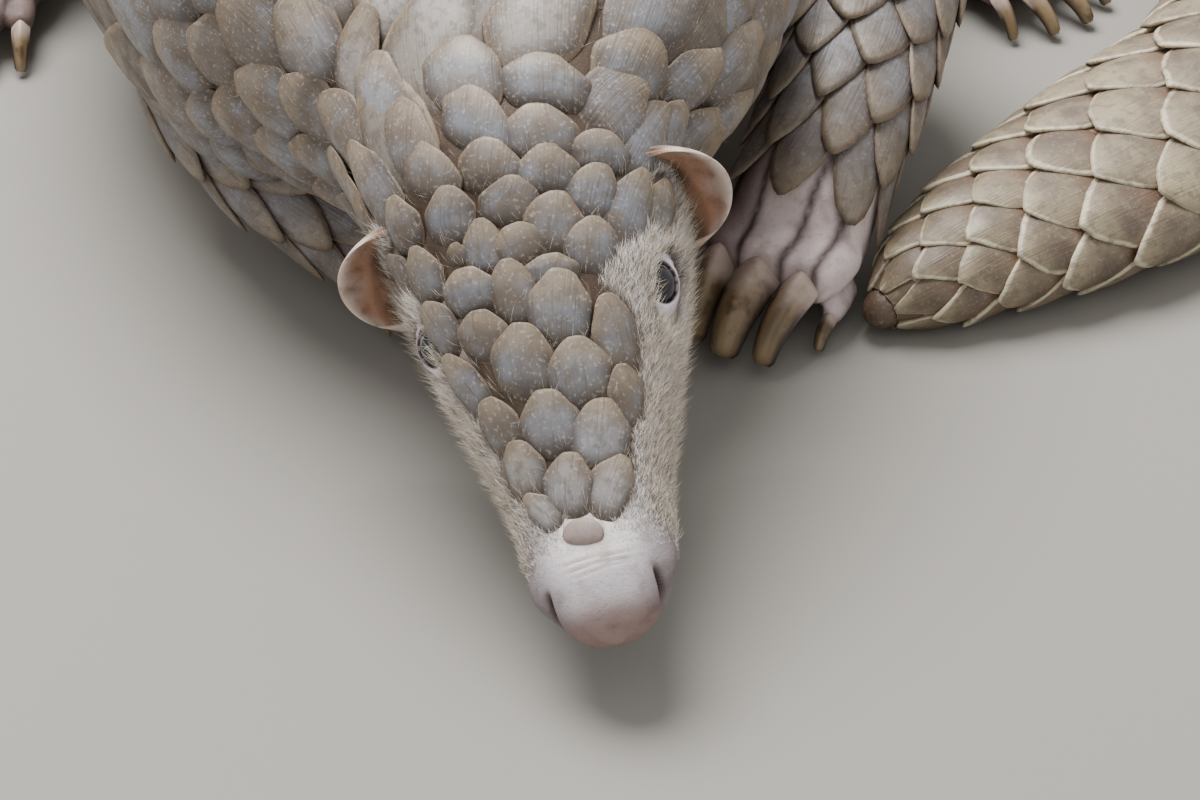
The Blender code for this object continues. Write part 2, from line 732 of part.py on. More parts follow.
def under_a_limb(point, ring, column):
    """Tells whether a scale of the trunk would lie under a limb's root."""
    for limb in LIMBS:
        for start, end in zip(limb.leg[:2], limb.leg[1:3]):
            a, b = Vector(start[:3]) * CM, Vector(end[:3]) * CM
            f = min(max((point - a).dot(b - a) / (b - a).length_squared, 0.0), 1.0)
            if (point - a.lerp(b, f)).length < 0.95 * start.half * CM:
                return True
    return False


def build_tail(spine):
    """Returns the tail's meshes by name."""
    start = spine.knots[len(HEAD_SIZES) + TRUNK_END_STATION]
    tube = Tube(head_stations() + BODY_SIZES, TAIL_COLUMNS, lambda along: TAIL_COLUMNS / 2, lambda along: 1.0)

    def thick(along, column):
        gain = TAIL_EDGE_GAIN if abs(column) == TAIL_EDGE_COLUMN else 1.0
        return gain * blend(TAIL_THICK, along)

    rings = ring_places(start, tube.length, lambda along: blend(TAIL_PITCH, along))
    shingles = Shingles(tube, rings, thick, lambda point, ring, column: point.z < FLOOR_CLEAR)
    splits = [round(n * (len(rings) - 1) / TAIL_NODES) for n in range(TAIL_NODES + 1)]
    meshes = {}
    for number, (a, b) in enumerate(zip(splits, splits[1:]), 1):
        meshes["tail_%d" % number] = shingles.solid(a, b, tip_closed=number == TAIL_NODES)
    return meshes


def build_limb(limb, trunk):
    """Returns a leg, its foot and its claws as meshes by name, the leg cut clear of the trunk."""
    stations = limb.leg + limb.palm
    tube = Tube(stations, LIMB_COLUMNS, lambda along: LIMB_SCALED, lambda along: LIMB_COVERED)
    wrist = tube.knots[len(limb.leg) - 1]
    rings = ring_places(0.0, wrist, lambda along: LIMB_PITCH)
    shingles = Shingles(tube, rings, lambda along, column: LIMB_THICK)
    leg = shingles.solid(0, len(rings) - 1)
    out = Vector((1.0 if "left" in limb.name else -1.0, 0.6, -0.8)) * GAP
    meshes = {"leg_" + limb.name: combine("leg", leg, removed=clear_of(trunk, out))}
    places = [wrist + GAP / 2 + (tube.length - wrist) * n / PALM_RINGS for n in range(PALM_RINGS)]
    foot = loft(tube, places + [tube.length], PALM_SIDES)
    middle, side, top, _, _ = tube.section(tube.length)
    heading = side.cross(top)
    heading = (heading - UP * heading.dot(UP)).normalized()
    if heading.dot(middle - tube.section(wrist)[0]) < 0:
        heading = -heading
    toes = []
    for number, claw in enumerate(limb.claws, 1):
        turn = Matrix.Rotation(math.radians(-claw.splay), 3, "Z")
        toe_heading = turn @ heading
        thick = claw.thick * CM
        root = middle + side * claw.across * CM - toe_heading * TOE_ROOT
        knuckle = root + toe_heading * (TOE_REACH + TOE_ROOT)
        knuckle.z = max(middle.z - claw.drop * CM, thick * 1.3)
        root.z = knuckle.z
        toes.append(toe_mesh(root, knuckle, thick * 1.22))
        meshes["claw_%s_%d" % (limb.name, number)] = claw_mesh(knuckle, toe_heading, claw)
    meshes["foot_" + limb.name] = combine("foot", foot, joined=toes, removed=clear_of(trunk, out))
    return meshes


def toe_mesh(root, knuckle, thick):
    """Returns a closed round toe from inside the palm to its flat face at the claw."""
    heading = (knuckle - root).normalized()
    across = heading.cross(UP).normalized()
    mesh, rings = bmesh.new(), []
    for f, wide in ((0.0, 0.9), (0.6, 1.14), (1.0, 0.96)):
        middle = root.lerp(knuckle, f)
        ring = []
        for side in range(CLAW_SIDES):
            angle = 2 * math.pi * (side + 0.5) / CLAW_SIDES
            ring.append(mesh.verts.new(middle + (across * math.cos(angle) + UP * math.sin(angle)) * thick * wide))
        rings.append(ring)
    close_rings(mesh, rings)
    return mesh


def close_rings(mesh, rings):
    """Skins a list of rings of vertices and caps both ends."""
    count = len(rings[0])
    for before, after in zip(rings, rings[1:]):
        for side in range(count):
            beside = (side + 1) % count
            mesh.faces.new((before[side], before[beside], after[beside], after[side]))
    mesh.faces.new(rings[0])
    mesh.faces.new(rings[-1])
    bmesh.ops.recalc_face_normals(mesh, faces=mesh.faces[:])
    bmesh.ops.triangulate(mesh, faces=mesh.faces[:])


def claw_mesh(knuckle, heading, claw):
    """Returns a claw that starts a gap ahead of its toe and bends down to a blunt point above the floor."""
    mesh, rings = bmesh.new(), []
    length, thick = claw.length * CM, claw.thick * CM
    across = heading.cross(UP).normalized()
    start = knuckle + heading * GAP
    drop = knuckle.z - thick * (1 - CLAW_TAPER) * CLAW_FLAT - CLAW_TIP_SPARE
    for step in range(CLAW_RINGS + 1):
        f = step / CLAW_RINGS
        ahead = length * math.sin(f * CLAW_BOW) / math.sin(CLAW_BOW)
        middle = start + heading * ahead - UP * drop * f**1.7
        wide = thick * (1 - CLAW_TAPER * f**1.5)
        lean = CLAW_DROOP * f * 1.6
        rise = UP * math.cos(lean) + heading * math.sin(lean)
        if step == 0:
            rise = UP
        ring = []
        for side in range(CLAW_SIDES):
            angle = 2 * math.pi * (side + 0.5) / CLAW_SIDES
            point = middle + across * math.cos(angle) * wide + rise * math.sin(angle) * wide * CLAW_FLAT
            point.z = max(point.z, 0.0)
            ring.append(mesh.verts.new(point))
        rings.append(ring)
    close_rings(mesh, rings)
    bmesh.ops.remove_doubles(mesh, verts=mesh.verts[:], dist=0.00005)
    return mesh


# The head's plates lie in staggered rows on a shield that widens from the snout to the nape.
SHIELD_HALF = [
    (2.4 * CM, 0.35 * CM),
    (2.7 * CM, 0.85 * CM),
    (3.0 * CM, 1.15 * CM),
    (4.0 * CM, 1.55 * CM),
    (5.0 * CM, 1.95 * CM),
    (6.0 * CM, 2.25 * CM),
    (7.0 * CM, 2.45 * CM),
    (8.0 * CM, 3.05 * CM),
    (9.5 * CM, 3.75 * CM),
]
SHIELD_START = 2.85 * CM
PLATE_ROW = [(2.8 * CM, 0.84 * CM), (5.0 * CM, 0.98 * CM), (9.5 * CM, 0.95 * CM)]
PLATE_WIDE = [(2.8 * CM, 0.86 * CM), (5.0 * CM, 1.02 * CM), (8.0 * CM, 1.10 * CM), (9.5 * CM, 1.24 * CM)]
PLATE_FILL = 0.91
PLATE_RISE = 0.11 * CM
PLATE_CROWN = 0.20 * CM
PLATE_SINK = 0.14 * CM
# A plate's outline in half rows back and half widths across, from its free tip round to its front.
PLATE_OUTLINE = [(1.0, 0.0), (0.62, 0.58), (0.0, 0.98), (-0.45, 0.62), (-0.80, 0.0)]
SNOUT_PLATE = 1.88 * CM
SNOUT_PLATE_HALF = 0.33 * CM

EYE_BACK = 6.3 * CM
EYE_TURN = 0.42
EYE_RADIUS = 0.46 * CM
EYE_DEPTH = 0.32 * CM
LID_THICK = 0.14 * CM
LID_LONG = 0.48 * CM
LID_WIDE = 0.39 * CM
EAR_BACK = 8.05 * CM
EAR_HALF = 1.12 * CM
EAR_REACH = 1.02 * CM
EAR_TURN = 0.46
EAR_LEAN = math.radians(38.0)
EAR_THICK = 0.15 * CM


# The mouth's line runs under the snout, from one corner round its front to the other.
MOUTH_CORNER = 2.7 * CM
MOUTH_FRONT = 0.42 * CM
MOUTH_CORNER_TURN = 0.74
MOUTH_STEPS = 6
MOUTH_GROOVE = 0.055 * CM
LIP_THICK = 0.13 * CM
LIP_SINK = 0.07 * CM
LINE_SIDES = 6
NOSTRIL_BACK = 0.78 * CM
NOSTRIL_TURN = 0.38
NOSTRIL_LONG = 0.24 * CM
NOSTRIL_WIDE = 0.075 * CM
NOSTRIL_DEEP = 0.16 * CM


def plate_mesh(tube, back, arc, half_long, half_wide, round_plate=False):
    """Returns one closed domed plate whose foot is sunk in the tube's surface."""
    outline = PLATE_OUTLINE
    points = outline + [(x, -y) for x, y in outline[-2:0:-1]]
    if round_plate:
        points = [(math.cos(n * math.pi / 4), math.sin(n * math.pi / 4)) for n in range(8)]
    mesh, high, low = bmesh.new(), [], []
    for x, y in points:
        along, across = back + x * half_long, arc + y * half_wide
        rise = PLATE_RISE * (0.75 + 0.4 * x)
        high.append(mesh.verts.new(tube.at_arc(along, across, rise)))
        low.append(mesh.verts.new(tube.at_arc(back + x * half_long * 0.9, arc + y * half_wide * 0.9, -PLATE_SINK)))
    crown = mesh.verts.new(tube.at_arc(back, arc, PLATE_CROWN))
    count = len(points)
    for n in range(count):
        after = (n + 1) % count
        mesh.faces.new((crown, high[n], high[after]))
        mesh.faces.new((high[n], low[n], low[after], high[after]))
    mesh.faces.new(low)
    bmesh.ops.recalc_face_normals(mesh, faces=mesh.faces[:])
    bmesh.ops.triangulate(mesh, faces=mesh.faces[:])
    return mesh


def head_plates(tube):
    """Returns the plates of the head's shield."""
    plates = [plate_mesh(tube, SNOUT_PLATE, 0.0, SNOUT_PLATE_HALF, SNOUT_PLATE_HALF, round_plate=True)]
    row, back = 0, SHIELD_START
    while back < HEAD_END + 0.6 * CM:
        pitch, wide = blend(PLATE_ROW, back), blend(PLATE_WIDE, back)
        half = blend(SHIELD_HALF, back)
        for number in range(-8, 9):
            arc = (number + 0.5 * (row % 2)) * wide
            if abs(arc) > half - 0.25 * wide:
                continue
            shift = 0.05 * CM * scatter(row, number, 5)
            size = 1 + 0.05 * scatter(row, number, 6)
            half_long, half_wide = pitch * PLATE_FILL * size, wide * 0.5 * PLATE_FILL * size
            plates.append(plate_mesh(tube, back + shift, arc, half_long, half_wide))
        back += pitch
        row += 1
    return plates


def ball(middle, radius, rings=7, sides=10):
    """Returns a round ball."""
    mesh = bmesh.new()
    bmesh.ops.create_uvsphere(mesh, u_segments=sides, v_segments=rings, radius=radius)
    bmesh.ops.translate(mesh, verts=mesh.verts[:], vec=middle)
    bmesh.ops.triangulate(mesh, faces=mesh.faces[:])
    return mesh


def head_arc(tube, back, turn):
    """Returns the arc at a share of the half girth, positive to the left."""
    return tube.section(back)[4][-1] * turn


def lid_ring(middle, outward, back, across):
    """Returns a closed almond ring round an eye."""
    mesh, rings = bmesh.new(), []
    sides, around = 6, 14
    for n in range(around):
        angle = 2 * math.pi * n / around
        spoke = back * math.cos(angle) * LID_LONG + across * math.sin(angle) * LID_WIDE
        hub = middle + spoke
        radial = spoke.normalized()
        ring = []
        for m in range(sides):
            turn = 2 * math.pi * m / sides
            ring.append(mesh.verts.new(hub + (radial * math.cos(turn) + outward * math.sin(turn)) * LID_THICK))
        rings.append(ring)
    for n in range(around):
        for m in range(sides):
            a, b = rings[n], rings[(n + 1) % around]
            mesh.faces.new((a[m], b[m], b[(m + 1) % sides], a[(m + 1) % sides]))
    bmesh.ops.recalc_face_normals(mesh, faces=mesh.faces[:])
    bmesh.ops.triangulate(mesh, faces=mesh.faces[:])
    return mesh


def mouth_path(tube):
    """Returns the places of the mouth's line, from its left corner round the front to its right corner."""
    half = [(MOUTH_CORNER, MOUTH_CORNER_TURN)]
    for step in range(1, MOUTH_STEPS + 1):
        f = step / MOUTH_STEPS
        back = MOUTH_CORNER + (MOUTH_FRONT - MOUTH_CORNER) * math.sin(f * math.pi / 2)
        half.append((back, MOUTH_CORNER_TURN + (1.0 - MOUTH_CORNER_TURN) * f**2.2))
    whole = [(back, turn) for back, turn in half] + [(back, -turn) for back, turn in half[-2::-1]]
    return [(back, head_arc(tube, back, turn)) for back, turn in whole]


def line_mesh(tube, path, radius, lift):
    """Returns a closed thin tube along a line of places on the surface, pointed at both ends."""
    mesh, rings = bmesh.new(), []
    points = [tube.at_arc(back, arc, lift) for back, arc in path]
    for n, point in enumerate(points):
        heading = (points[min(n + 1, len(points) - 1)] - points[max(n - 1, 0)]).normalized()
        outward = (point - tube.section(path[n][0])[0]).normalized()
        across = heading.cross(outward).normalized()
        wide = radius * (0.35 if n in (0, len(points) - 1) else 1.0)
        ring = []
        for side in range(LINE_SIDES):
            turn = 2 * math.pi * side / LINE_SIDES
            ring.append(mesh.verts.new(point + (across * math.cos(turn) + outward * math.sin(turn)) * wide))
        rings.append(ring)
    close_rings(mesh, rings)
    return mesh


def nostril_mesh(tube, sign, ahead):
    """Returns the slit to cut for one nostril."""
    arc = sign * head_arc(tube, NOSTRIL_BACK, NOSTRIL_TURN)
    place, outward = tube.at_arc(NOSTRIL_BACK, arc), tube.normal(NOSTRIL_BACK, arc)
    across = outward.cross(ahead).normalized()
    long_way = outward.cross(across).normalized()
    slit = ball(Vector(), 1.0, rings=5, sides=8)
    for vertex in slit.verts:
        x, y, z = vertex.co
        vertex.co = place + long_way * x * NOSTRIL_LONG + across * y * NOSTRIL_WIDE + outward * z * NOSTRIL_DEEP
    return slit


def ear_mesh(root, outward, rearward, downward):
    """Returns a cupped ear: a thin shell whose open side looks forward, its root inside the head."""
    mesh = bmesh.new()
    spans, reaches = 8, 4
    layers = []
    for layer in range(2):
        grid = []
        for n in range(reaches + 1):
            f = n / reaches
            row = []
            for m in range(spans + 1):
                angle = math.pi * (m / spans - 0.5)
                wide = EAR_HALF * (0.80 + 0.30 * math.sin(math.pi * f * 0.8))
                rim = math.cos(angle) ** 0.55
                reach = (EAR_REACH + 0.35 * CM) * f * rim - 0.35 * CM
                cup = 0.42 * CM * (1 - (2 * m / spans - 1) ** 2) * (1 - 0.45 * f * f)
                point = root + outward * reach + downward * wide * math.sin(angle)
                point += rearward * (cup - layer * EAR_THICK * (1 - 0.25 * f))
                row.append(mesh.verts.new(point))
            grid.append(row)
        layers.append(grid)
    inner, outer = layers
    for grid in layers:
        for a, b in zip(grid, grid[1:]):
            for m in range(spans):
                quad_split(mesh, a[m], a[m + 1], b[m + 1], b[m], m >= spans / 2)
    loop = [(0, m) for m in range(spans + 1)] + [(n, spans) for n in range(1, reaches + 1)]
    loop += [(reaches, m) for m in range(spans - 1, -1, -1)] + [(n, 0) for n in range(reaches - 1, 0, -1)]
    for (n, m), (i, j) in zip(loop, loop[1:] + loop[:1]):
        mesh.faces.new((inner[n][m], inner[i][j], outer[i][j], outer[n][m]))
    bmesh.ops.recalc_face_normals(mesh, faces=mesh.faces[:])
    bmesh.ops.triangulate(mesh, faces=mesh.faces[:])
    return mesh


def quad_split(mesh, a, b, c, d, other):
    """Adds a quad as two triangles along the chosen diagonal."""
    if other:
        mesh.faces.new((a, b, d))
        mesh.faces.new((b, c, d))
    else:
        mesh.faces.new((a, b, c))
        mesh.faces.new((a, c, d))


def build_head(spine):
    """Returns the head, its eyes and its ears as meshes by name."""
    places = [0.06 * CM, 0.14 * CM, 0.28 * CM, 0.5 * CM]
    while places[-1] < HEAD_END - 0.35 * CM:
        places.append(places[-1] + 0.33 * CM)
    places += [HEAD_END + 0.1 * CM]
    head = loft(spine, places, 24)
    plain = grown(head, GAP)
    joined, removed, meshes = head_plates(spine), [], {}
    ahead = head_frame()[0]
    joined.append(line_mesh(spine, mouth_path(spine), LIP_THICK, -LIP_SINK))
    removed.append(line_mesh(spine, mouth_path(spine), MOUTH_GROOVE, LIP_THICK - LIP_SINK))
    for name, sign in (("left", 1), ("right", -1)):
        arc = sign * head_arc(spine, EYE_BACK, EYE_TURN)
        on_skin, outward = spine.at_arc(EYE_BACK, arc), spine.normal(EYE_BACK, arc)
        middle = on_skin - outward * EYE_DEPTH
        across = outward.cross(ahead).normalized()
        joined.append(lid_ring(on_skin - outward * 0.02 * CM, outward, ahead, across))
        removed.append(ball(middle, EYE_RADIUS + GAP))
        removed.append(nostril_mesh(spine, sign, ahead))
        meshes["eye_" + name] = ball(middle, EYE_RADIUS)
    middle, side, top = spine.section(HEAD_END - GAP / 2)[:3]
    removed.append(block_behind(middle, side, top, HEAD_END))
    meshes["head"] = combine("head", head, joined=joined, removed=removed)
    for name, sign in (("left", 1), ("right", -1)):
        arc = sign * head_arc(spine, EAR_BACK, EAR_TURN)
        root, outward = spine.at_arc(EAR_BACK, arc), spine.normal(EAR_BACK, arc)
        level_down = outward.cross(ahead).normalized() * sign
        downward = level_down * math.cos(EAR_LEAN) + ahead * math.sin(EAR_LEAN)
        rearward = level_down * math.sin(EAR_LEAN) - ahead * math.cos(EAR_LEAN)
        ear = ear_mesh(root, (outward + rearward * 0.15).normalized(), rearward, downward)
        meshes["ear_" + name] = without_slivers(combine("ear", ear, removed=[plain.copy()]))
    plain.free()
    return meshes


def clear_scene():
    """Removes what the scene holds."""
    for thing in list(bpy.data.objects):
        bpy.data.objects.remove(thing, do_unlink=True)


def main():
    """Builds every part of the animal."""
    clear_scene()
    trunk, spine = build_trunk()
    horn = dict(trunk)
    horn.update(build_tail(spine))
    skin, claws = {}, {}
    for limb in LIMBS:
        cutters = [trunk["neck"], trunk["torso_front"], trunk["torso_rear"], horn["tail_1"]]
        for name, mesh in build_limb(limb, cutters).items():
            (claws if name.startswith("claw") else skin)[name] = mesh
    for name, mesh in {**horn, **skin, **build_head(spine), **claws}.items():
        bmesh.ops.triangulate(mesh, faces=mesh.faces[:])
        colour, roughness = FINISHES.get(name.split("_")[0], FINISHES["neck"])
        finish(name, mesh, colour, roughness)


main()
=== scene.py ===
"""Looks of a life-size Chinese pangolin that rests on its belly, its head low and its tail curled round.

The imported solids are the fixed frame. One skin takes the place of the flesh nodes, and scales, claws,
eyes, lids, ears and hair are laid over it. Metres, +Z up, as in the frame. The body, tail and limbs are
read from the same stations as the solids, through BodyForm, which gives a point for any distance along a
form and any share of the way round it.
"""

import json
import logging
import math
from dataclasses import dataclass, field
from enum import Enum
from typing import Callable, NamedTuple

import bmesh
import bpy
import numpy as np
from mathutils import Matrix, Vector, kdtree

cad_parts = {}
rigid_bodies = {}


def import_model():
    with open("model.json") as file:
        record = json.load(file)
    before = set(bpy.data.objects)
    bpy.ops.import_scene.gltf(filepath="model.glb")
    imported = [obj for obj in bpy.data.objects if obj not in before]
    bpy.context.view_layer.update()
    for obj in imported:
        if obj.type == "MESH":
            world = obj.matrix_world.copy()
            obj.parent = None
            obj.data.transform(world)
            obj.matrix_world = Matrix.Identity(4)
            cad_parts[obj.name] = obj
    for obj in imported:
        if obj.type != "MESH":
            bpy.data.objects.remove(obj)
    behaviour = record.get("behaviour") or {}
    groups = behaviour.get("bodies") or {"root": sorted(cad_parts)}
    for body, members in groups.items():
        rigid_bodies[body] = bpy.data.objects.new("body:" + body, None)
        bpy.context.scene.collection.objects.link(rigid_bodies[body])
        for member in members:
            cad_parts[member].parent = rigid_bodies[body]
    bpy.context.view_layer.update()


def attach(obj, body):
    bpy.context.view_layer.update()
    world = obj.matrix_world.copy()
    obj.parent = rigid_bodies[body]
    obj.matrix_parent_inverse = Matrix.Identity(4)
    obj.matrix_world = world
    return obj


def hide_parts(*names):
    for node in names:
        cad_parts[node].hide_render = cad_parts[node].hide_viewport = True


LOG = logging.getLogger("pangolin")
CM = 0.01
MM = 0.001
BODY = "root"
Array = np.ndarray
# Pairs of a place along a form and a value, between which the value runs smoothly.
Table = list[tuple[float, float]]


class Side(Enum):
    """The animal's own sides, with the sign of a place round the form."""

    LEFT = 1
    RIGHT = -1


class Station(NamedTuple):
    """One section of a form in centimetres, its roll in degrees and how square it is (2 is round)."""

    x: float
    y: float
    z: float
    half: float
    up: float
    down: float
    roll: float = 0.0
    square: float = 2.0


class Claw(NamedTuple):
    """One digit: its place across the palm, claw length and half thickness in centimetres, and its splay."""

    across: float
    length: float
    thick: float
    splay: float
    drop: float


class Limb(NamedTuple):
    """A limb's stations from inside the trunk to the wrist, through the palm, and its digits."""

    name: str
    leg: list[Station]
    palm: list[Station]
    claws: list[Claw]


NOSE_TIP = Vector((4.75, -21.5, 1.6))
HEAD_YAW = math.radians(11.5)
HEAD_PITCH = math.radians(25.0)
HEAD_ROLL = math.radians(19.0)
HEAD_END = 9.5 * CM

# The head's half width, height above and below its axis, and squareness, by the distance behind the nose.
HEAD_SIZES = [
    (0.0, 0.06, 0.05, 0.05, 2.0),
    (0.07, 0.36, 0.26, 0.28, 2.0),
    (0.28, 0.70, 0.50, 0.52, 2.1),
    (0.8, 1.10, 0.78, 0.82, 2.2),
    (1.4, 1.34, 0.93, 0.98, 2.3),
    (2.1, 1.34, 1.04, 1.10, 2.2),
    (3.2, 1.50, 1.30, 1.32, 2.1),
    (4.7, 1.90, 1.75, 1.66, 2.1),
    (6.2, 2.32, 2.22, 2.00, 2.1),
    (7.8, 2.66, 2.62, 2.30, 2.1),
    (9.5, 3.10, 2.95, 2.60, 2.1),
]
BODY_STATIONS = [
    Station(2.95, -11.2, 6.05, 4.35, 3.35, 2.8, 14.0, 2.1),
    Station(2.55, -8.7, 6.30, 5.7, 4.5, 3.6, 8.0, 2.1),
    Station(1.50, -5.5, 6.20, 6.5, 5.8, 5.8, 3.0, 2.1),
    Station(0.00, -0.3, 6.00, 6.9, 6.8, 6.4, 0.0, 2.2),
    Station(0.60, 4.6, 5.80, 6.7, 6.8, 6.2, 0.0, 2.2),
    Station(2.60, 8.2, 5.20, 5.9, 6.1, 5.6, 0.0, 2.1),
    Station(5.80, 10.6, 4.10, 4.9, 4.6, 4.5, 0.0, 2.0),
    Station(9.30, 11.7, 2.90, 4.2, 3.3, 3.2, 0.0, 1.9),
    Station(13.8, 11.0, 2.00, 3.65, 2.35, 2.3, 0.0, 1.85),
    Station(18.0, 7.9, 1.60, 3.40, 2.05, 1.9, 0.0, 1.8),
    Station(20.3, 2.7, 1.45, 3.20, 1.85, 1.7, 0.0, 1.8),
    Station(18.8, -2.7, 1.30, 2.95, 1.65, 1.5, 0.0, 1.8),
    Station(14.5, -6.8, 1.15, 2.45, 1.35, 1.3, 0.0, 1.8),
    Station(11.4, -9.15, 0.90, 1.43, 1.00, 1.03, 0.0, 1.9),
    Station(10.5, -9.9, 0.74, 0.90, 0.72, 0.78, 0.0, 2.0),
    Station(10.05, -10.25, 0.62, 0.38, 0.38, 0.42, 0.0, 2.0),
]
TAIL_ROOT_STATION = 18

FORE_CLAWS = [
    Claw(-1.32, 0.7, 0.18, -6.0, 0.95),
    Claw(-1.05, 1.8, 0.43, 7.0, 0.08),
    Claw(0.0, 2.0, 0.53, 0.0, 0.08),
    Claw(1.05, 1.8, 0.43, -7.0, 0.08),
    Claw(1.32, 0.7, 0.18, 6.0, 0.95),
]
HIND_CLAWS = [
    Claw(-1.30, 0.9, 0.22, -14.0, 0.08),
    Claw(-0.68, 1.4, 0.28, -6.0, 0.08),
    Claw(0.0, 1.6, 0.30, 0.0, 0.08),
    Claw(0.68, 1.4, 0.28, 6.0, 0.08),
    Claw(1.30, 0.9, 0.22, 14.0, 0.08),
]
LIMBS = [
    Limb(
        "front_left",
        [
            Station(4.4, -1.9, 5.2, 2.3, 2.2, 2.2),
            Station(7.8, -0.9, 4.9, 2.1, 2.0, 2.0),
            Station(9.9, -2.5, 4.2, 1.85, 1.75, 1.75),
            Station(9.6, -5.4, 3.4, 1.6, 1.5, 1.5),
            Station(8.8, -7.95, 2.45, 1.45, 1.25, 1.25),
        ],
        [
            Station(8.54, -8.45, 2.10, 1.42, 1.15, 1.9, 0.0, 2.1),
            Station(8.30, -8.87, 1.75, 1.44, 0.95, 2.0, 0.0, 2.4),
            Station(8.06, -9.28, 1.50, 1.40, 0.72, 1.5, 0.0, 2.5),
        ],
        FORE_CLAWS,
    ),
    Limb(
        "front_right",
        [
            Station(0.9, -2.6, 4.8, 2.2, 2.2, 2.2),
            Station(-2.1, -3.3, 4.3, 2.0, 2.0, 2.0),
            Station(-3.3, -5.2, 3.6, 1.75, 1.7, 1.7),
            Station(-1.9, -7.6, 2.4, 1.5, 1.35, 1.35),
            Station(0.3, -9.2, 1.55, 1.4, 1.0, 1.2),
        ],
        [
            Station(1.0, -9.6, 1.35, 1.5, 0.9, 1.4, 0.0, 2.1),
            Station(1.6, -9.95, 1.15, 1.6, 0.75, 1.3, 0.0, 2.4),
            Station(2.05, -10.35, 1.0, 1.5, 0.6, 1.1, 0.0, 2.6),
        ],
        FORE_CLAWS,
    ),
    Limb(
        "hind_left",
        [
            Station(3.9, 6.2, 4.9, 2.9, 3.0, 3.0),
            Station(7.4, 4.8, 4.4, 2.8, 2.8, 2.8),
            Station(10.1, 4.3, 3.4, 2.3, 2.2, 2.2),
            Station(11.8, 3.6, 2.2, 1.7, 1.6, 1.6),
        ],
        [
            Station(12.5, 3.2, 1.6, 1.65, 1.2, 1.5, 0.0, 2.1),
            Station(13.2, 2.6, 1.15, 1.65, 0.9, 1.2, 0.0, 2.2),
            Station(13.6, 2.2, 0.95, 1.45, 0.7, 0.9, 0.0, 2.2),
        ],
        HIND_CLAWS,
    ),
    Limb(
        "hind_right",
        [
            Station(-1.4, 5.6, 4.9, 2.9, 3.0, 3.0),
            Station(-4.8, 6.2, 4.4, 2.8, 2.8, 2.8),
            Station(-7.2, 5.2, 3.4, 2.3, 2.2, 2.2),
            Station(-8.4, 3.5, 2.2, 1.7, 1.6, 1.6),
        ],
        [
            Station(-8.9, 2.3, 1.6, 1.65, 1.2, 1.5, 0.0, 2.1),
            Station(-9.2, 1.2, 1.15, 1.65, 0.9, 1.2, 0.0, 2.2),
            Station(-9.35, 0.5, 0.95, 1.45, 0.7, 0.9, 0.0, 2.2),
        ],
        HIND_CLAWS,
    ),
]
TOE_REACH = 0.50 * CM
TOE_ROOT = 0.50 * CM
CLAW_TAPER = 0.42
CLAW_TIP_SPARE = 0.02 * CM
CLAW_FLAT = 0.9
CLAW_BOW = math.pi / 2.4


def head_stations() -> list[Station]:
    """Returns the head's sizes as stations on its straight axis, in centimetres."""
    flat = math.cos(HEAD_PITCH)
    ahead = Vector((math.sin(HEAD_YAW) * flat, -math.cos(HEAD_YAW) * flat, -math.sin(HEAD_PITCH)))
    stations = []
    for back, half, up, down, square in HEAD_SIZES:
        at = NOSE_TIP - ahead * back
        stations.append(Station(*at, half, up, down, math.degrees(HEAD_ROLL), square))
    return stations


def unit(vectors: Array) -> Array:
    """Returns vectors of length one."""
    return vectors / np.maximum(np.linalg.norm(vectors, axis=-1, keepdims=True), 1e-12)


def ramp(value: Array, low: float, high: float) -> Array:
    """Returns a smooth step from 0 at low to 1 at high."""
    share = np.clip((value - low) / (high - low), 0.0, 1.0)
    return share * share * (3 - 2 * share)


def blend(table: Table, at: Array) -> Array:
    """Reads a table.

    Args:
        table: The table. One pair gives its value everywhere.
        at: Places along the form.

    Returns:
        The value at each place.
    """
    at = np.asarray(at, float)
    result = np.full(at.shape, table[0][1], float)
    for (start, low), (end, high) in zip(table, table[1:]):
        result = np.where(at > start, low + (high - low) * ramp(at, start, end), result)
    return result


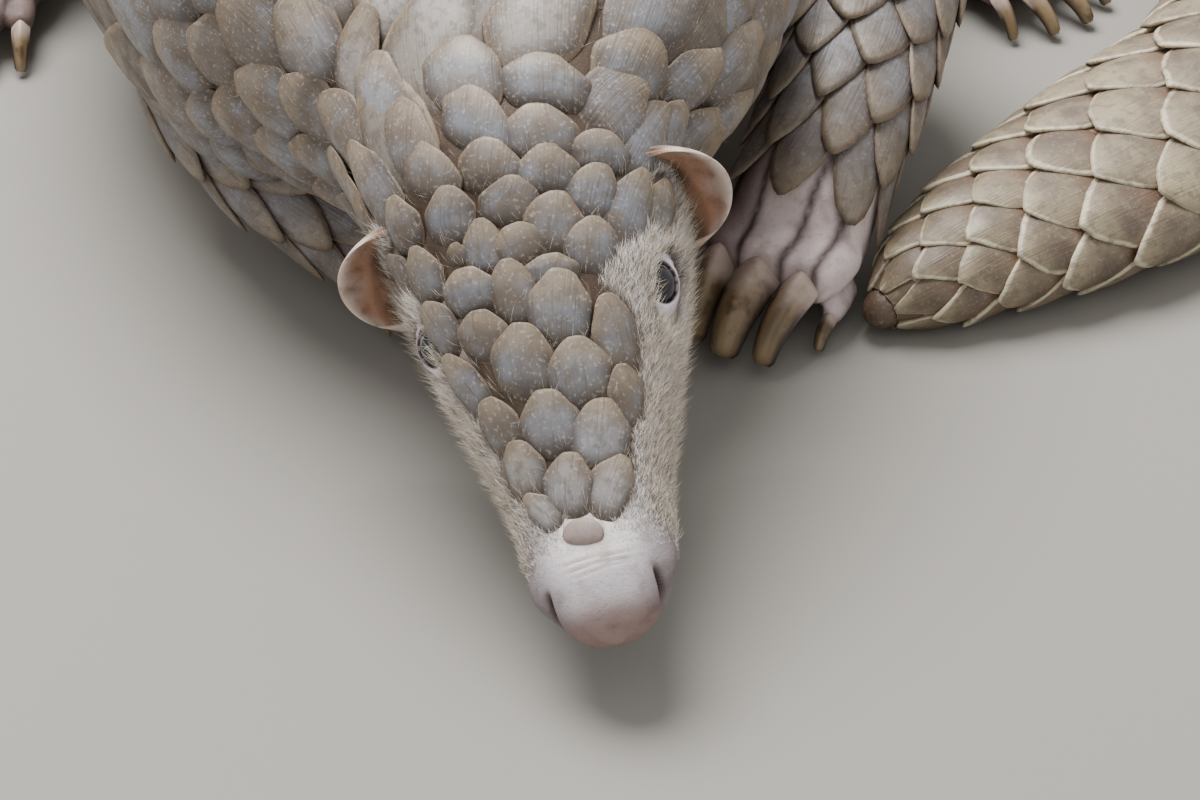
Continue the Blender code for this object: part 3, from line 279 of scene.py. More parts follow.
class BodyForm:
    """A closed form round a bent path, sampled once so that whole arrays of places can be read from it.

    A place is a distance along the path and a turn, the share of the way round from the middle of the
    back: 0 is the back, positive turns are to the left, and 1 and -1 both are the middle of the belly.
    """

    STEP = 0.1 * CM
    SPOKES = 72
    OUTLINE = 144

    def __init__(self, stations: list[Station]) -> None:
        """Samples the form.

        Args:
            stations: Its sections, in order along the path.
        """
        table = np.array(stations, float)
        table[:, :6] *= CM
        self.table = table
        steps = np.linalg.norm(np.diff(table[:, :3], axis=0), axis=1)
        self.knots = np.concatenate([[0.0], np.cumsum(steps)])
        self.length = float(self.knots[-1])
        span = np.diff(self.knots)[:, None]
        secant = np.diff(table, axis=0) / span
        inner = (secant[:-1] * span[1:] + secant[1:] * span[:-1]) / (span[:-1] + span[1:])
        self.slopes = np.vstack([secant[:1], inner, secant[-1:]])
        self.alongs = np.linspace(0.0, self.length, int(self.length / self.STEP) + 2)
        self._sample()

    def sections(self, along: Array) -> tuple[Array, Array, Array, Array]:
        """Returns the middles, side axes, up axes and sizes at distances along the path.

        Args:
            along: The distances.

        Returns:
            Four arrays with a row for each distance. A size is half width, up, down, roll and squareness.
        """
        index = np.clip(np.searchsorted(self.knots, along, side="left") - 1, 0, len(self.knots) - 2)
        span = (self.knots[index + 1] - self.knots[index])[:, None]
        f = (along - self.knots[index])[:, None] / span
        a, b = self.table[index], self.table[index + 1]
        slope_a, slope_b = self.slopes[index], self.slopes[index + 1]
        values = (2 * f**3 - 3 * f**2 + 1) * a + (3 * f**2 - 2 * f**3) * b
        values += span * ((f**3 - 2 * f**2 + f) * slope_a + (f**3 - f**2) * slope_b)
        change = (6 * f**2 - 6 * f) * (a - b) / span + (3 * f**2 - 4 * f + 1) * slope_a
        change += (3 * f**2 - 2 * f) * slope_b
        heading = unit(change[:, :3])
        level_up = unit(np.array([0.0, 0.0, 1.0]) - heading * heading[:, 2:3])
        level_side = np.cross(heading, level_up)
        turn = np.radians(values[:, 6:7])
        side = level_side * np.cos(turn) + level_up * np.sin(turn)
        top = level_up * np.cos(turn) - level_side * np.sin(turn)
        return values[:, :3], side, top, values[:, 3:]

    def _sample(self) -> None:
        """Fills the grid of surface points and outward directions."""
        middles, sides, tops, sizes = self.sections(self.alongs)
        angle = np.pi * np.arange(self.OUTLINE + 1) / self.OUTLINE
        shares = np.linspace(0.0, 1.0, self.SPOKES + 1)
        rows, self.girths = [], np.zeros(len(self.alongs))
        for n, (middle, side, top, size) in enumerate(zip(middles, sides, tops, sizes)):
            half, up, down, _, square = size
            across = half * np.abs(np.sin(angle)) ** (2 / square)
            height = np.abs(np.cos(angle)) ** (2 / square) * np.where(angle < np.pi / 2, up, -down)
            run = np.concatenate([[0.0], np.cumsum(np.hypot(np.diff(across), np.diff(height)))])
            self.girths[n] = run[-1]
            across = np.interp(shares * run[-1], run, across)
            height = np.interp(shares * run[-1], run, height)
            across = np.concatenate([-across[:0:-1], across])
            height = np.concatenate([height[:0:-1], height])
            rows.append(middle + np.outer(across, side) + np.outer(height, top))
        self.middles = middles
        self.points = np.array(rows)
        self.points[..., 2] = np.maximum(self.points[..., 2], 0.0)
        ahead = np.gradient(self.points, axis=0)
        around = np.gradient(self.points, axis=1)
        around[:, 0] = around[:, -1] = self.points[:, 1] - self.points[:, -2]
        normals = unit(np.cross(around, ahead))
        outward = self.points - middles[:, None]
        flip = np.sign(np.sum(normals * outward, axis=-1, keepdims=True))
        self.normals = normals * np.where(flip == 0, 1.0, flip)

    def girth(self, along: Array) -> Array:
        """Returns how far it is from the middle of the back to the middle of the belly."""
        return np.interp(along, self.alongs, self.girths)

    def _read(self, grid: Array, along: Array, turn: Array) -> Array:
        """Returns the values of a grid between its samples.

        Args:
            grid: Values at the form's samples.
            along: Distances along the form.
            turn: Turns round it.

        Returns:
            A row of values for each place.
        """
        along, turn = np.broadcast_arrays(np.asarray(along, float), np.asarray(turn, float))
        row = np.clip(along / self.length, 0.0, 1.0) * (len(self.alongs) - 1)
        column = ((turn + 1.0) % 2.0) * self.SPOKES
        i = np.minimum(row.astype(int), len(self.alongs) - 2)
        j = np.minimum(column.astype(int), 2 * self.SPOKES - 1)
        f, g = (row - i)[..., None], (column - j)[..., None]
        low = grid[i, j] * (1 - g) + grid[i, j + 1] * g
        high = grid[i + 1, j] * (1 - g) + grid[i + 1, j + 1] * g
        return low * (1 - f) + high * f

    def normal(self, along: Array, turn: Array) -> Array:
        """Returns the outward directions at some places."""
        return unit(self._read(self.normals, along, turn))

    def spot(self, along: Array, turn: Array, lift: Array = 0.0) -> Array:
        """Returns the points at some places, raised by a lift, and never below the floor."""
        point = self._read(self.points, along, turn)
        point = point + self.normal(along, turn) * np.asarray(lift, float)[..., None]
        point[..., 2] = np.maximum(point[..., 2], 0.0)
        return point

    def lie(self, along: Array, turn: Array) -> Array:
        """Returns the directions in which the form's distance grows, which is backwards on the head."""
        step = 0.2 * CM
        return unit(self.spot(along + step, turn) - self.spot(along - step, turn))


@dataclass(frozen=True)
class PhotoView:
    """The photo's camera: it looks along +Y and down."""

    place: tuple[float, float, float] = (0.0441, -0.7795, 0.5116)
    down: float = math.radians(38.0)
    focal_mm: float = 128.25
    sensor_mm: float = 36.0
    width: int = 1200
    height: int = 800
    nearest: float = 0.05

    def project(self, points: Array) -> tuple[Array, Array]:
        """Finds where points show in the photo.

        Args:
            points: Points in the frame.

        Returns:
            Their pixels, from the upper left corner, and how far in front of the camera they are.
        """
        away = points - np.array(self.place)
        depth = away[..., 1] * math.cos(self.down) - away[..., 2] * math.sin(self.down)
        rise = away[..., 1] * math.sin(self.down) + away[..., 2] * math.cos(self.down)
        scale = self.focal_mm / self.sensor_mm * self.width / depth
        pixels = np.stack([self.width / 2 + away[..., 0] * scale, self.height / 2 - rise * scale], axis=-1)
        return pixels, depth

    def add_camera(self) -> None:
        """Makes the scene's camera."""
        data = bpy.data.cameras.new("photo_camera")
        data.lens = self.focal_mm
        data.sensor_width = self.sensor_mm
        data.clip_start = self.nearest
        camera = bpy.data.objects.new("photo_camera", data)
        camera.location = self.place
        camera.rotation_euler = (math.pi / 2 - self.down, 0.0, 0.0)
        bpy.context.scene.collection.objects.link(camera)
        bpy.context.scene.camera = camera


class Tracer:
    """Finds the places of a form that the photo's camera sees at given pixels."""

    # The pixels within which places compete, the rounds of refining, and the trial step and the largest move
    # of each, as a distance along the form and a turn.
    CLOSE = 5.0
    ROUNDS = 4
    STEPS = (0.02 * CM, 0.002)
    LIMITS = (0.15 * CM, 0.03)

    def __init__(self, form: BodyForm, view: PhotoView, end: float) -> None:
        """Keeps the part of a form that faces the camera.

        Args:
            form: The form.
            view: The camera.
            end: How far along the form to look.
        """
        self.form, self.view = form, view
        rows = form.alongs < end
        along, turn = np.meshgrid(form.alongs[rows], np.linspace(-1, 1, 2 * form.SPOKES + 1), indexing="ij")
        away = form.points[rows] - np.array(view.place)
        facing = np.sum(away * form.normals[rows], axis=-1) < 0
        self.places = np.stack([along[facing], turn[facing]], axis=-1)
        self.pixels, self.depths = view.project(form.points[rows][facing])

    def find(self, pixels: Array) -> tuple[Array, Array]:
        """Returns the distances and turns of the places seen at some pixels.

        Args:
            pixels: The pixels, as rows of two.

        Returns:
            The places' distances and their turns.
        """
        found = []
        for pixel in pixels:
            gap = np.linalg.norm(self.pixels - pixel, axis=1)
            near = gap < max(self.CLOSE, gap.min() + 0.5)
            pick = np.flatnonzero(near)[np.argmin(self.depths[near] + 1e-4 * gap[near])]
            found.append(self.places[pick])
        places = np.array(found)
        for _ in range(self.ROUNDS):
            here = self.view.project(self.form.spot(places[:, 0], places[:, 1]))[0]
            columns = []
            for axis, step in enumerate(self.STEPS):
                moved = places.copy()
                moved[:, axis] += step
                there = self.view.project(self.form.spot(moved[:, 0], moved[:, 1]))[0]
                columns.append((there - here) / step)
            matrix = np.stack(columns, axis=-1)
            move = np.linalg.solve(matrix + np.eye(2) * 1e-6, (pixels - here)[..., None])[..., 0]
            limits = np.array(self.LIMITS)
            places += np.clip(move, -limits, limits)
        return places[:, 0], places[:, 1]


def linear(hex_code: str) -> tuple[float, float, float, float]:
    """Turns an sRGB hex colour to linear red, green and blue, with full alpha."""
    parts = [int(hex_code[n : n + 2], 16) / 255 for n in (1, 3, 5)]
    return (*[c / 12.92 if c <= 0.04045 else ((c + 0.055) / 1.055) ** 2.4 for c in parts], 1.0)


def linear_rows(*hex_codes: str) -> list[Array]:
    """Turns sRGB hex colours to rows of linear red, green and blue."""
    return [np.array(linear(code)[:3]) for code in hex_codes]


# Socket places of the Mix node in its colour mode.
MIX_FACTOR, MIX_A, MIX_B, MIX_RESULT = 0, 6, 7, 2
# Refraction of keratin in a scale or claw, of a hair's shaft, of moist skin and of the eye's cornea.
HORN_IOR = 1.54
HAIR_IOR = 1.55
SKIN_IOR = 1.40
CORNEA_IOR = 1.38


class Tint(NamedTuple):
    """One layer of colour: it covers up to a share of what is under it as a value runs from low to high."""

    value: bpy.types.NodeSocket
    low: float
    high: float
    share: float | bpy.types.NodeSocket
    colour: str | bpy.types.NodeSocket


class Maker:
    """One new material, whose nodes are all added by one method."""

    def __init__(self, name: str) -> None:
        """Starts the material under a name that says what the real surface is."""
        self.material = bpy.data.materials.new(name)
        self.material.use_nodes = True
        self.tree = self.material.node_tree

    def connect(self, node: bpy.types.Node, inputs: dict) -> None:
        """Sets a node's inputs.

        Args:
            node: The node.
            inputs: Values or output sockets by input name or number.
        """
        for key, value in inputs.items():
            if isinstance(value, bpy.types.NodeSocket):
                self.tree.links.new(value, node.inputs[key])
            else:
                node.inputs[key].default_value = value

    def add(self, kind: str, inputs: dict, output: str | int = 0, **settings) -> bpy.types.NodeSocket:
        """Adds a node.

        Args:
            kind: The node's type, without the word ShaderNode.
            inputs: Values or output sockets by input name or number.
            output: The name or number of the output that is wanted.
            settings: The node's own properties.

        Returns:
            The output socket.
        """
        node = self.tree.nodes.new("ShaderNode" + kind)
        for name, value in settings.items():
            setattr(node, name, value)
        self.connect(node, inputs)
        return node.outputs[output]

    def paint(self, base: tuple | bpy.types.NodeSocket, *tints: Tint) -> bpy.types.NodeSocket:
        """Lays colours over a base, the first one lowest.

        Args:
            base: The colour under all of them, as a linear value or a socket.
            tints: The layers.

        Returns:
            The socket of the finished colour.
        """
        colour = base
        for value, low, high, share, over in tints:
            run = {"Value": value, "From Min": low, "From Max": high, "To Max": share}
            cover = self.add("MapRange", run, "Result", interpolation_type="SMOOTHSTEP")
            over = linear(over) if isinstance(over, str) else over
            mixed = {MIX_FACTOR: cover, MIX_A: colour, MIX_B: over}
            colour = self.add("Mix", mixed, MIX_RESULT, data_type="RGBA")
        return colour

    def finish(self, inputs: dict) -> bpy.types.Material:
        """Sets the shader's inputs by name and returns the material."""
        self.connect(self.tree.nodes["Principled BSDF"], inputs)
        return self.material


@dataclass(frozen=True)
class HornFinish:
    """A scale's keratin, grown in layers and worn by soil: dull waxy horn, streaked from its root.

    It reads as a cloudy centre, brown sides and root, a tan tip, a worn rim, and dust in the pits. The sides'
    brown is partly soil and partly painted shade where the dome falls away, and the pale mark's colour in the
    middle is, on the top of the nape and back, partly a painted highlight.
    """

    name: str
    centre: str
    deep: str
    tip: str
    root: str
    rim: str
    pale: str
    roughness: float = 0.5
    rim_start: float = 0.90
    tip_share: float = 0.75
    side_share: float = 0.55
    spread: float = 0.25
    dust: float = 0.25
    root_start: float = 0.72
    dust_tone: str = "#cfc9c0"
    # Real sizes: a growth line's width and length, blotches, worn patches, mottling and dust specks. Real
    # growth lines are finer than the photo's pixels, so they are drawn as coarse as they need to show.
    stria_mm: tuple[float, float] = (0.45, 9.0)
    cloud_mm: float = 5.882
    patch_mm: float = 18.18
    mottle_mm: float = 2.3256
    speck_mm: float = 0.7143

    def build(self) -> bpy.types.Material:
        """Returns the material."""
        made = Maker(self.name)
        place = made.add("TexCoord", {}, "Object")
        tone, reach, edge, pale = (
            made.add("Attribute", {}, "Fac", attribute_name=mark)
            for mark in ("tone", "reach", "edge", "pale")
        )
        grain = made.add("UVMap", {}, "UV", uv_map="Grain")
        line_scale = (*(1 / (size * MM) for size in self.stria_mm), 1.0)
        lengthwise = made.add("Mapping", {"Vector": grain, "Scale": line_scale}, "Vector")
        noises = [
            (place, 1 / (self.cloud_mm * MM), 5.0), (place, 1 / (self.patch_mm * MM), 3.0),
            (place, 1 / (self.mottle_mm * MM), 7.0), (place, 1 / (self.speck_mm * MM), 4.0),
            (lengthwise, 1.0, 3.0),
        ]
        cloud, patch, mottle, speck, striae = (
            made.add("TexNoise", {"Vector": where, "Scale": scale, "Detail": detail}, "Fac")
            for where, scale, detail in noises
        )
        varied = made.add("Math", {0: tone, 1: self.spread, 2: cloud}, operation="MULTIPLY_ADD")
        uneven = made.add("Math", {0: patch, 1: 0.6, 2: reach}, operation="MULTIPLY_ADD")
        rim_wear_and_flank_shade = made.add("Math", {0: cloud, 1: 0.22, 2: edge}, operation="MULTIPLY_ADD")
        rim_wear_and_flank_shade = made.add("Math", {0: tone, 1: 0.12, 2: rim_wear_and_flank_shade}, operation="MULTIPLY_ADD")
        colour = made.paint(
            linear(self.centre),
            Tint(varied, 0.40, 0.58 + self.spread, 1.0, self.deep),
            # Browner and darker towards each scale's sides: partly soil, partly painted shade where the dome
            # falls away.
            Tint(edge, 0.45, 1.0, self.side_share, self.root),
            Tint(uneven, 0.80, 1.25, self.tip_share, self.tip),
            Tint(uneven, self.root_start, self.root_start - 0.28, 0.75, self.root),
            # The pale mark's colour towards each scale's middle: on the top of the nape and back partly a
            # painted highlight.
            Tint(edge, 0.95, 0.35, pale, self.pale),
            Tint(rim_wear_and_flank_shade, self.rim_start + 0.16, self.rim_start + 0.24, 0.85, self.rim),
            Tint(mottle, 0.50, 0.62, 0.46, self.deep),
            Tint(speck, 0.56, 0.68, self.dust, self.dust_tone),
            Tint(striae, 0.54, 0.72, 0.42, self.root),
        )
        lined = made.add("Bump", {"Height": striae, "Strength": 0.6, "Distance": 0.25 * MM})
        pitted = {"Height": speck, "Strength": 0.25, "Distance": 0.12 * MM, "Normal": lined}
        gloss = {"Value": cloud, "From Min": 0.3, "From Max": 0.7, "To Min": self.roughness - 0.08,
                 "To Max": self.roughness + 0.14}
        rough = made.add("MapRange", gloss, "Result", interpolation_type="SMOOTHSTEP")
        return made.finish(
            {"Base Color": colour, "Roughness": rough, "Normal": made.add("Bump", pitted), "IOR": HORN_IOR}
        )


@dataclass(frozen=True)
class SkinFinish:
    """Bare or thinly haired skin, moist and soft, in the colours that the piece's own attribute gives.

    It reads as blotched and slightly translucent, with a net of fine creases and pores.
    """

    name: str
    crease_mm: float = 1.1
    roughness: float = 0.58
    warmth: float = 0.10
    blotch: float = 0.22
    shadow: str = "#a88d80"
    # Real sizes: a blotch, a pore, and how far red, green and blue light spreads under the skin.
    blotch_mm: float = 3.846
    pore_mm: float = 0.6667
    spread_mm: tuple[float, float, float] = (1.5, 0.7, 0.4)

    def build(self) -> bpy.types.Material:
        """Returns the material."""
        made = Maker(self.name)
        place = made.add("TexCoord", {}, "Object")
        tint = made.add("Attribute", {}, "Color", attribute_name="tint")
        cloud, pores = (
            made.add("TexNoise", {"Vector": place, "Scale": 1 / (size * MM), "Detail": detail}, "Fac")
            for size, detail in ((self.blotch_mm, 5.0), (self.pore_mm, 4.0))
        )
        shaded = {MIX_FACTOR: 1.0, MIX_A: tint, MIX_B: linear(self.shadow)}
        dark = made.add("Mix", shaded, MIX_RESULT, data_type="RGBA", blend_type="MULTIPLY")
        colour = made.paint(
            tint, Tint(cloud, 0.45, 0.75, self.blotch, dark), Tint(pores, 0.55, 0.75, 0.30, dark)
        )
        net = {"Vector": place, "Scale": 1 / (self.crease_mm * MM)}
        cells = made.add("TexVoronoi", net, "Distance", feature="DISTANCE_TO_EDGE")
        valley = {"Value": cells, "From Min": 0.0, "From Max": 0.12}
        creases = made.add("MapRange", valley, "Result", interpolation_type="SMOOTHSTEP")
        folded = made.add("Bump", {"Height": creases, "Strength": 0.25, "Distance": 0.12 * MM})
        pitted = {"Height": pores, "Strength": 0.35, "Distance": 0.10 * MM, "Normal": folded}
        return made.finish({
            "Base Color": colour, "Normal": made.add("Bump", pitted), "Roughness": self.roughness,
            "IOR": SKIN_IOR, "Subsurface Weight": self.warmth, "Subsurface Scale": 1.0,
            "Subsurface Radius": tuple(size * MM for size in self.spread_mm),
        })


@dataclass(frozen=True)
class HairFinish:
    """Short stiff hair: dull shafts that darken at the root and of which some are brown.

    It reads as a pale fuzz with depth, speckled where the brown shafts lie.
    """

    name: str
    shaft: str
    root: str
    brown: str = "#8d7a68"
    roughness: float = 0.6

    def build(self) -> bpy.types.Material:
        """Returns the material."""
        made = Maker(self.name)
        reach, tone = (
            made.add("Attribute", {}, "Fac", attribute_name=mark) for mark in ("reach", "tone")
        )
        colour = made.paint(
            linear(self.shaft),
            Tint(tone, 0.56, 0.90, 1.0, self.brown),
            Tint(reach, 0.45, 0.0, 1.0, self.root),
        )
        return made.finish({"Base Color": colour, "Roughness": self.roughness, "IOR": HAIR_IOR})


@dataclass(frozen=True)
class ClawFinish:
    """Claw horn, worn smooth by digging, so glossier than a scale.

    It reads as tan on the ridge, dark down the sides as painted shade with some dirt, streaked and stained,
    and ivory by the toe.
    """

    name: str = "streaked_claw_horn"
    horn: str = "#857053"
    streak: str = "#3c2d1d"
    flank: str = "#2c2019"
    cuticle: str = "#b8a59b"
    point: str = "#9c8867"
    roughness: float = 0.42
    # Real sizes: a streak's width and length, and a stain.
    streak_mm: tuple[float, float] = (2.6, 16.0)
    stain_mm: float = 4.762

    def build(self) -> bpy.types.Material:
        """Returns the material."""
        made = Maker(self.name)
        reach, ridge = (
            made.add("Attribute", {}, "Fac", attribute_name=mark) for mark in ("reach", "ridge")
        )
        grain = made.add("UVMap", {}, "UV", uv_map="Grain")
        streak_scale = (*(1 / (size * MM) for size in self.streak_mm), 1.0)
        drawn = made.add("Mapping", {"Vector": grain, "Scale": streak_scale}, "Vector")
        streaks = made.add("TexNoise", {"Vector": drawn, "Scale": 1.0, "Detail": 5.0}, "Fac")
        place = made.add("TexCoord", {}, "Object")
        spots = {"Vector": place, "Scale": 1 / (self.stain_mm * MM), "Detail": 4.0}
        stain = made.add("TexNoise", spots, "Fac")
        rim_wear_and_flank_shade, grown = (
            made.add("Math", {0: stain, 1: 0.5, 2: mark}, operation="MULTIPLY_ADD") for mark in (ridge, reach)
        )
        colour = made.paint(
            linear(self.horn),
            Tint(streaks, 0.42, 0.75, 0.7, self.streak),
            Tint(reach, 0.65, 1.0, 0.4, self.point),
            Tint(stain, 0.54, 0.66, 0.65, self.streak),
            # Painted shade, with some dirt: dark down the sides, away from the ridge.
            Tint(rim_wear_and_flank_shade, 1.08, 0.58, 0.94, self.flank),
            Tint(grown, 0.80, 0.44, 0.95, self.cuticle),
        )
        lined = made.add("Bump", {"Height": streaks, "Strength": 0.4, "Distance": 0.15 * MM})
        return made.finish(
            {"Base Color": colour, "Normal": lined, "Roughness": self.roughness, "IOR": HORN_IOR}
        )


@dataclass(frozen=True)
class EyeFinish:
    """A wet eye so dark that the iris hardly parts from the pupil: it reads as a black bead with a glint."""

    name: str = "wet_dark_eye"
    iris: str = "#1a1b24"
    pupil: str = "#0b0b10"
    fleck_mm: float = 1.1111

    def build(self) -> bpy.types.Material:
        """Returns the material."""
        made = Maker(self.name)
        place = made.add("TexCoord", {}, "Object")
        spots = {"Vector": place, "Scale": 1 / (self.fleck_mm * MM), "Detail": 2.0}
        colour = made.paint(
            linear(self.iris), Tint(made.add("TexNoise", spots, "Fac"), 0.4, 0.7, 1.0, self.pupil)
        )
        return made.finish({
            "Base Color": colour, "Roughness": 0.08, "IOR": CORNEA_IOR,
            "Coat Weight": 0.5, "Coat Roughness": 0.03,
        })


def ring_faces(sides: int, rings: int, first: int = 0) -> list[tuple[int, ...]]:
    """Returns the faces between closed rings of points that are numbered ring after ring.

    Args:
        sides: How many points a ring has.
        rings: How many rings there are.
        first: The number of the first point of the first ring.

    Returns:
        The faces, by the numbers of their points.
    """
    faces = []
    for ring in range(rings - 1):
        near, far = first + ring * sides, first + (ring + 1) * sides
        for n in range(sides):
            after = (n + 1) % sides
            faces.append((near + n, far + n, far + after, near + after))
    return faces


def tree_of(points: Array) -> kdtree.KDTree:
    """Returns a search tree of some points, numbered in their order."""
    tree = kdtree.KDTree(len(points))
    for number, place in enumerate(points):
        tree.insert(place, number)
    tree.balance()
    return tree


class Sheet:
    """A grid of faces that is rolled or bent to a shape by moving its points."""

    SEAM = 1e-6

    def __init__(self, columns: int, rows: int) -> None:
        """Makes the flat grid and keeps the places of its points, from -1 to 1 both ways."""
        self.mesh = bmesh.new()
        bmesh.ops.create_grid(self.mesh, x_segments=columns, y_segments=rows, size=1.0)
        flat = np.array([vertex.co[:2] for vertex in self.mesh.verts])
        self.x, self.y = flat[:, 0], flat[:, 1].copy()

    def bend(self, points: Array) -> None:
        """Moves the points of the grid to their places in the frame."""
        for vertex, point in zip(self.mesh.verts, points):
            vertex.co = point

    def close(self) -> None:
        """Merges the seam of a rolled grid and fills its open ends."""
        bmesh.ops.remove_doubles(self.mesh, verts=self.mesh.verts[:], dist=self.SEAM)
        bmesh.ops.holes_fill(self.mesh, edges=[edge for edge in self.mesh.edges if edge.is_boundary], sides=0)


class Piece:
    """Turns arrays and meshes into dressed objects of the scene."""

    @staticmethod
    def from_arrays(
        name: str, points: Array, faces: list[tuple[int, ...]], repeats: int = 1
    ) -> bpy.types.Object:
        """Makes an object of one shape, or of many alike that lie one after another in the points.

        Args:
            name: The object's name.
            points: All points, as rows of three.
            faces: The faces of one shape, by the numbers of its points.
            repeats: How many shapes the points hold.

        Returns:
            The object, linked to the scene.
        """
        data = bpy.data.meshes.new(name)
        per_shape = len(points) // repeats
        sizes = np.array([len(face) for face in faces])
        corners = np.concatenate([np.array(face) for face in faces])
        shifts = (np.arange(repeats) * per_shape)[:, None]
        loops = (corners[None, :] + shifts).ravel()
        totals = np.tile(sizes, repeats)
        data.vertices.add(len(points))
        data.vertices.foreach_set("co", np.ascontiguousarray(points, np.float32).ravel())
        data.loops.add(len(loops))
        data.loops.foreach_set("vertex_index", loops.astype(np.int32))
        data.polygons.add(len(totals))
        starts = np.concatenate([[0], np.cumsum(totals)[:-1]])
        data.polygons.foreach_set("loop_start", starts.astype(np.int32))
        data.update(calc_edges=True)
        data.validate()
        return Piece.link(name, data)

    @staticmethod
    def from_bmesh(
        name: str, mesh: bmesh.types.BMesh, group: bpy.types.Collection | None = None
    ) -> bpy.types.Object:
        """Makes an object from a bmesh, which it frees.

        Args:
            name: The object's name.
            mesh: The bmesh.
            group: The collection that it goes into, or None for the scene's own.

        Returns:
            The object.
        """
        data = bpy.data.meshes.new(name)
        mesh.to_mesh(data)
        mesh.free()
        return Piece.link(name, data, group)

    @staticmethod
    def link(name: str, data: bpy.types.Mesh, group: bpy.types.Collection | None = None) -> bpy.types.Object:
        """Returns a new object for a mesh, in a collection or else in the scene's own."""
        thing = bpy.data.objects.new(name, data)
        home = bpy.context.scene.collection if group is None else group
        home.objects.link(thing)
        return thing

    @staticmethod
    def seal(thing: bpy.types.Object, merge: bool = True) -> None:
        """Turns an object's faces outwards, and merges its seams if asked to."""
        mesh = bmesh.new()
        mesh.from_mesh(thing.data)
        if merge:
            bmesh.ops.remove_doubles(mesh, verts=mesh.verts[:], dist=Sheet.SEAM)
        bmesh.ops.recalc_face_normals(mesh, faces=mesh.faces[:])
        mesh.to_mesh(thing.data)
        mesh.free()

    @staticmethod
    def mark(thing: bpy.types.Object, **values: Array) -> None:
        """Stores numbers for each point of an object.

        Args:
            thing: The object.
            values: One number for each point, under the attribute's name.
        """
        for name, value in values.items():
            attribute = thing.data.attributes.new(name, "FLOAT", "POINT")
            attribute.data.foreach_set("value", np.ascontiguousarray(value, np.float32).ravel())

    @staticmethod
    def tint(thing: bpy.types.Object, colours: Array) -> None:
        """Stores a linear colour for each point of an object.

        Args:
            thing: The object.
            colours: Red, green and blue for each point.
        """
        attribute = thing.data.attributes.new("tint", "FLOAT_COLOR", "POINT")
        full = np.concatenate([colours, np.ones((len(colours), 1))], axis=1)
        attribute.data.foreach_set("color", full.astype(np.float32).ravel())

    @staticmethod
    def chart(thing: bpy.types.Object, name: str, flat: Array) -> None:
        """Stores a UV map.

        Args:
            thing: The object.
            name: The map's name.
            flat: The place on the map of each point of the object.
        """
        layer = thing.data.uv_layers.new(name=name)
        corners = np.zeros(len(thing.data.loops), np.int32)
        thing.data.loops.foreach_get("vertex_index", corners)
        layer.data.foreach_set("uv", flat[corners].astype(np.float32).ravel())

    @staticmethod
    def dress(thing: bpy.types.Object, material: bpy.types.Material, slot: str, *stands_for: str) -> None:
        """Gives an object its material and body, and hides the solids that it takes the place of.

        Args:
            thing: The object.
            material: Its finish.
            slot: The slot of the record that it belongs to. Not used.
            stands_for: The solids that it takes the place of.
        """
        thing.data.materials.clear()
        thing.data.materials.append(material)
        thing.data.shade_smooth()
        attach(thing, BODY)
        if stands_for:
            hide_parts(*stands_for)
        LOG.info("%s: %d faces", thing.name, len(thing.data.polygons))


class ScaleSet(NamedTuple):
    """Places and sizes of many scales of one form, all arrays of one length."""

    along: Array
    turn: Array
    half_long: Array
    half_wide: Array
    yaw: Array
    rise: Array
    pale: Array

    def only(self, chosen: Array | slice) -> "ScaleSet":
        """Returns some of the scales."""
        return ScaleSet(*(values[chosen] for values in self))


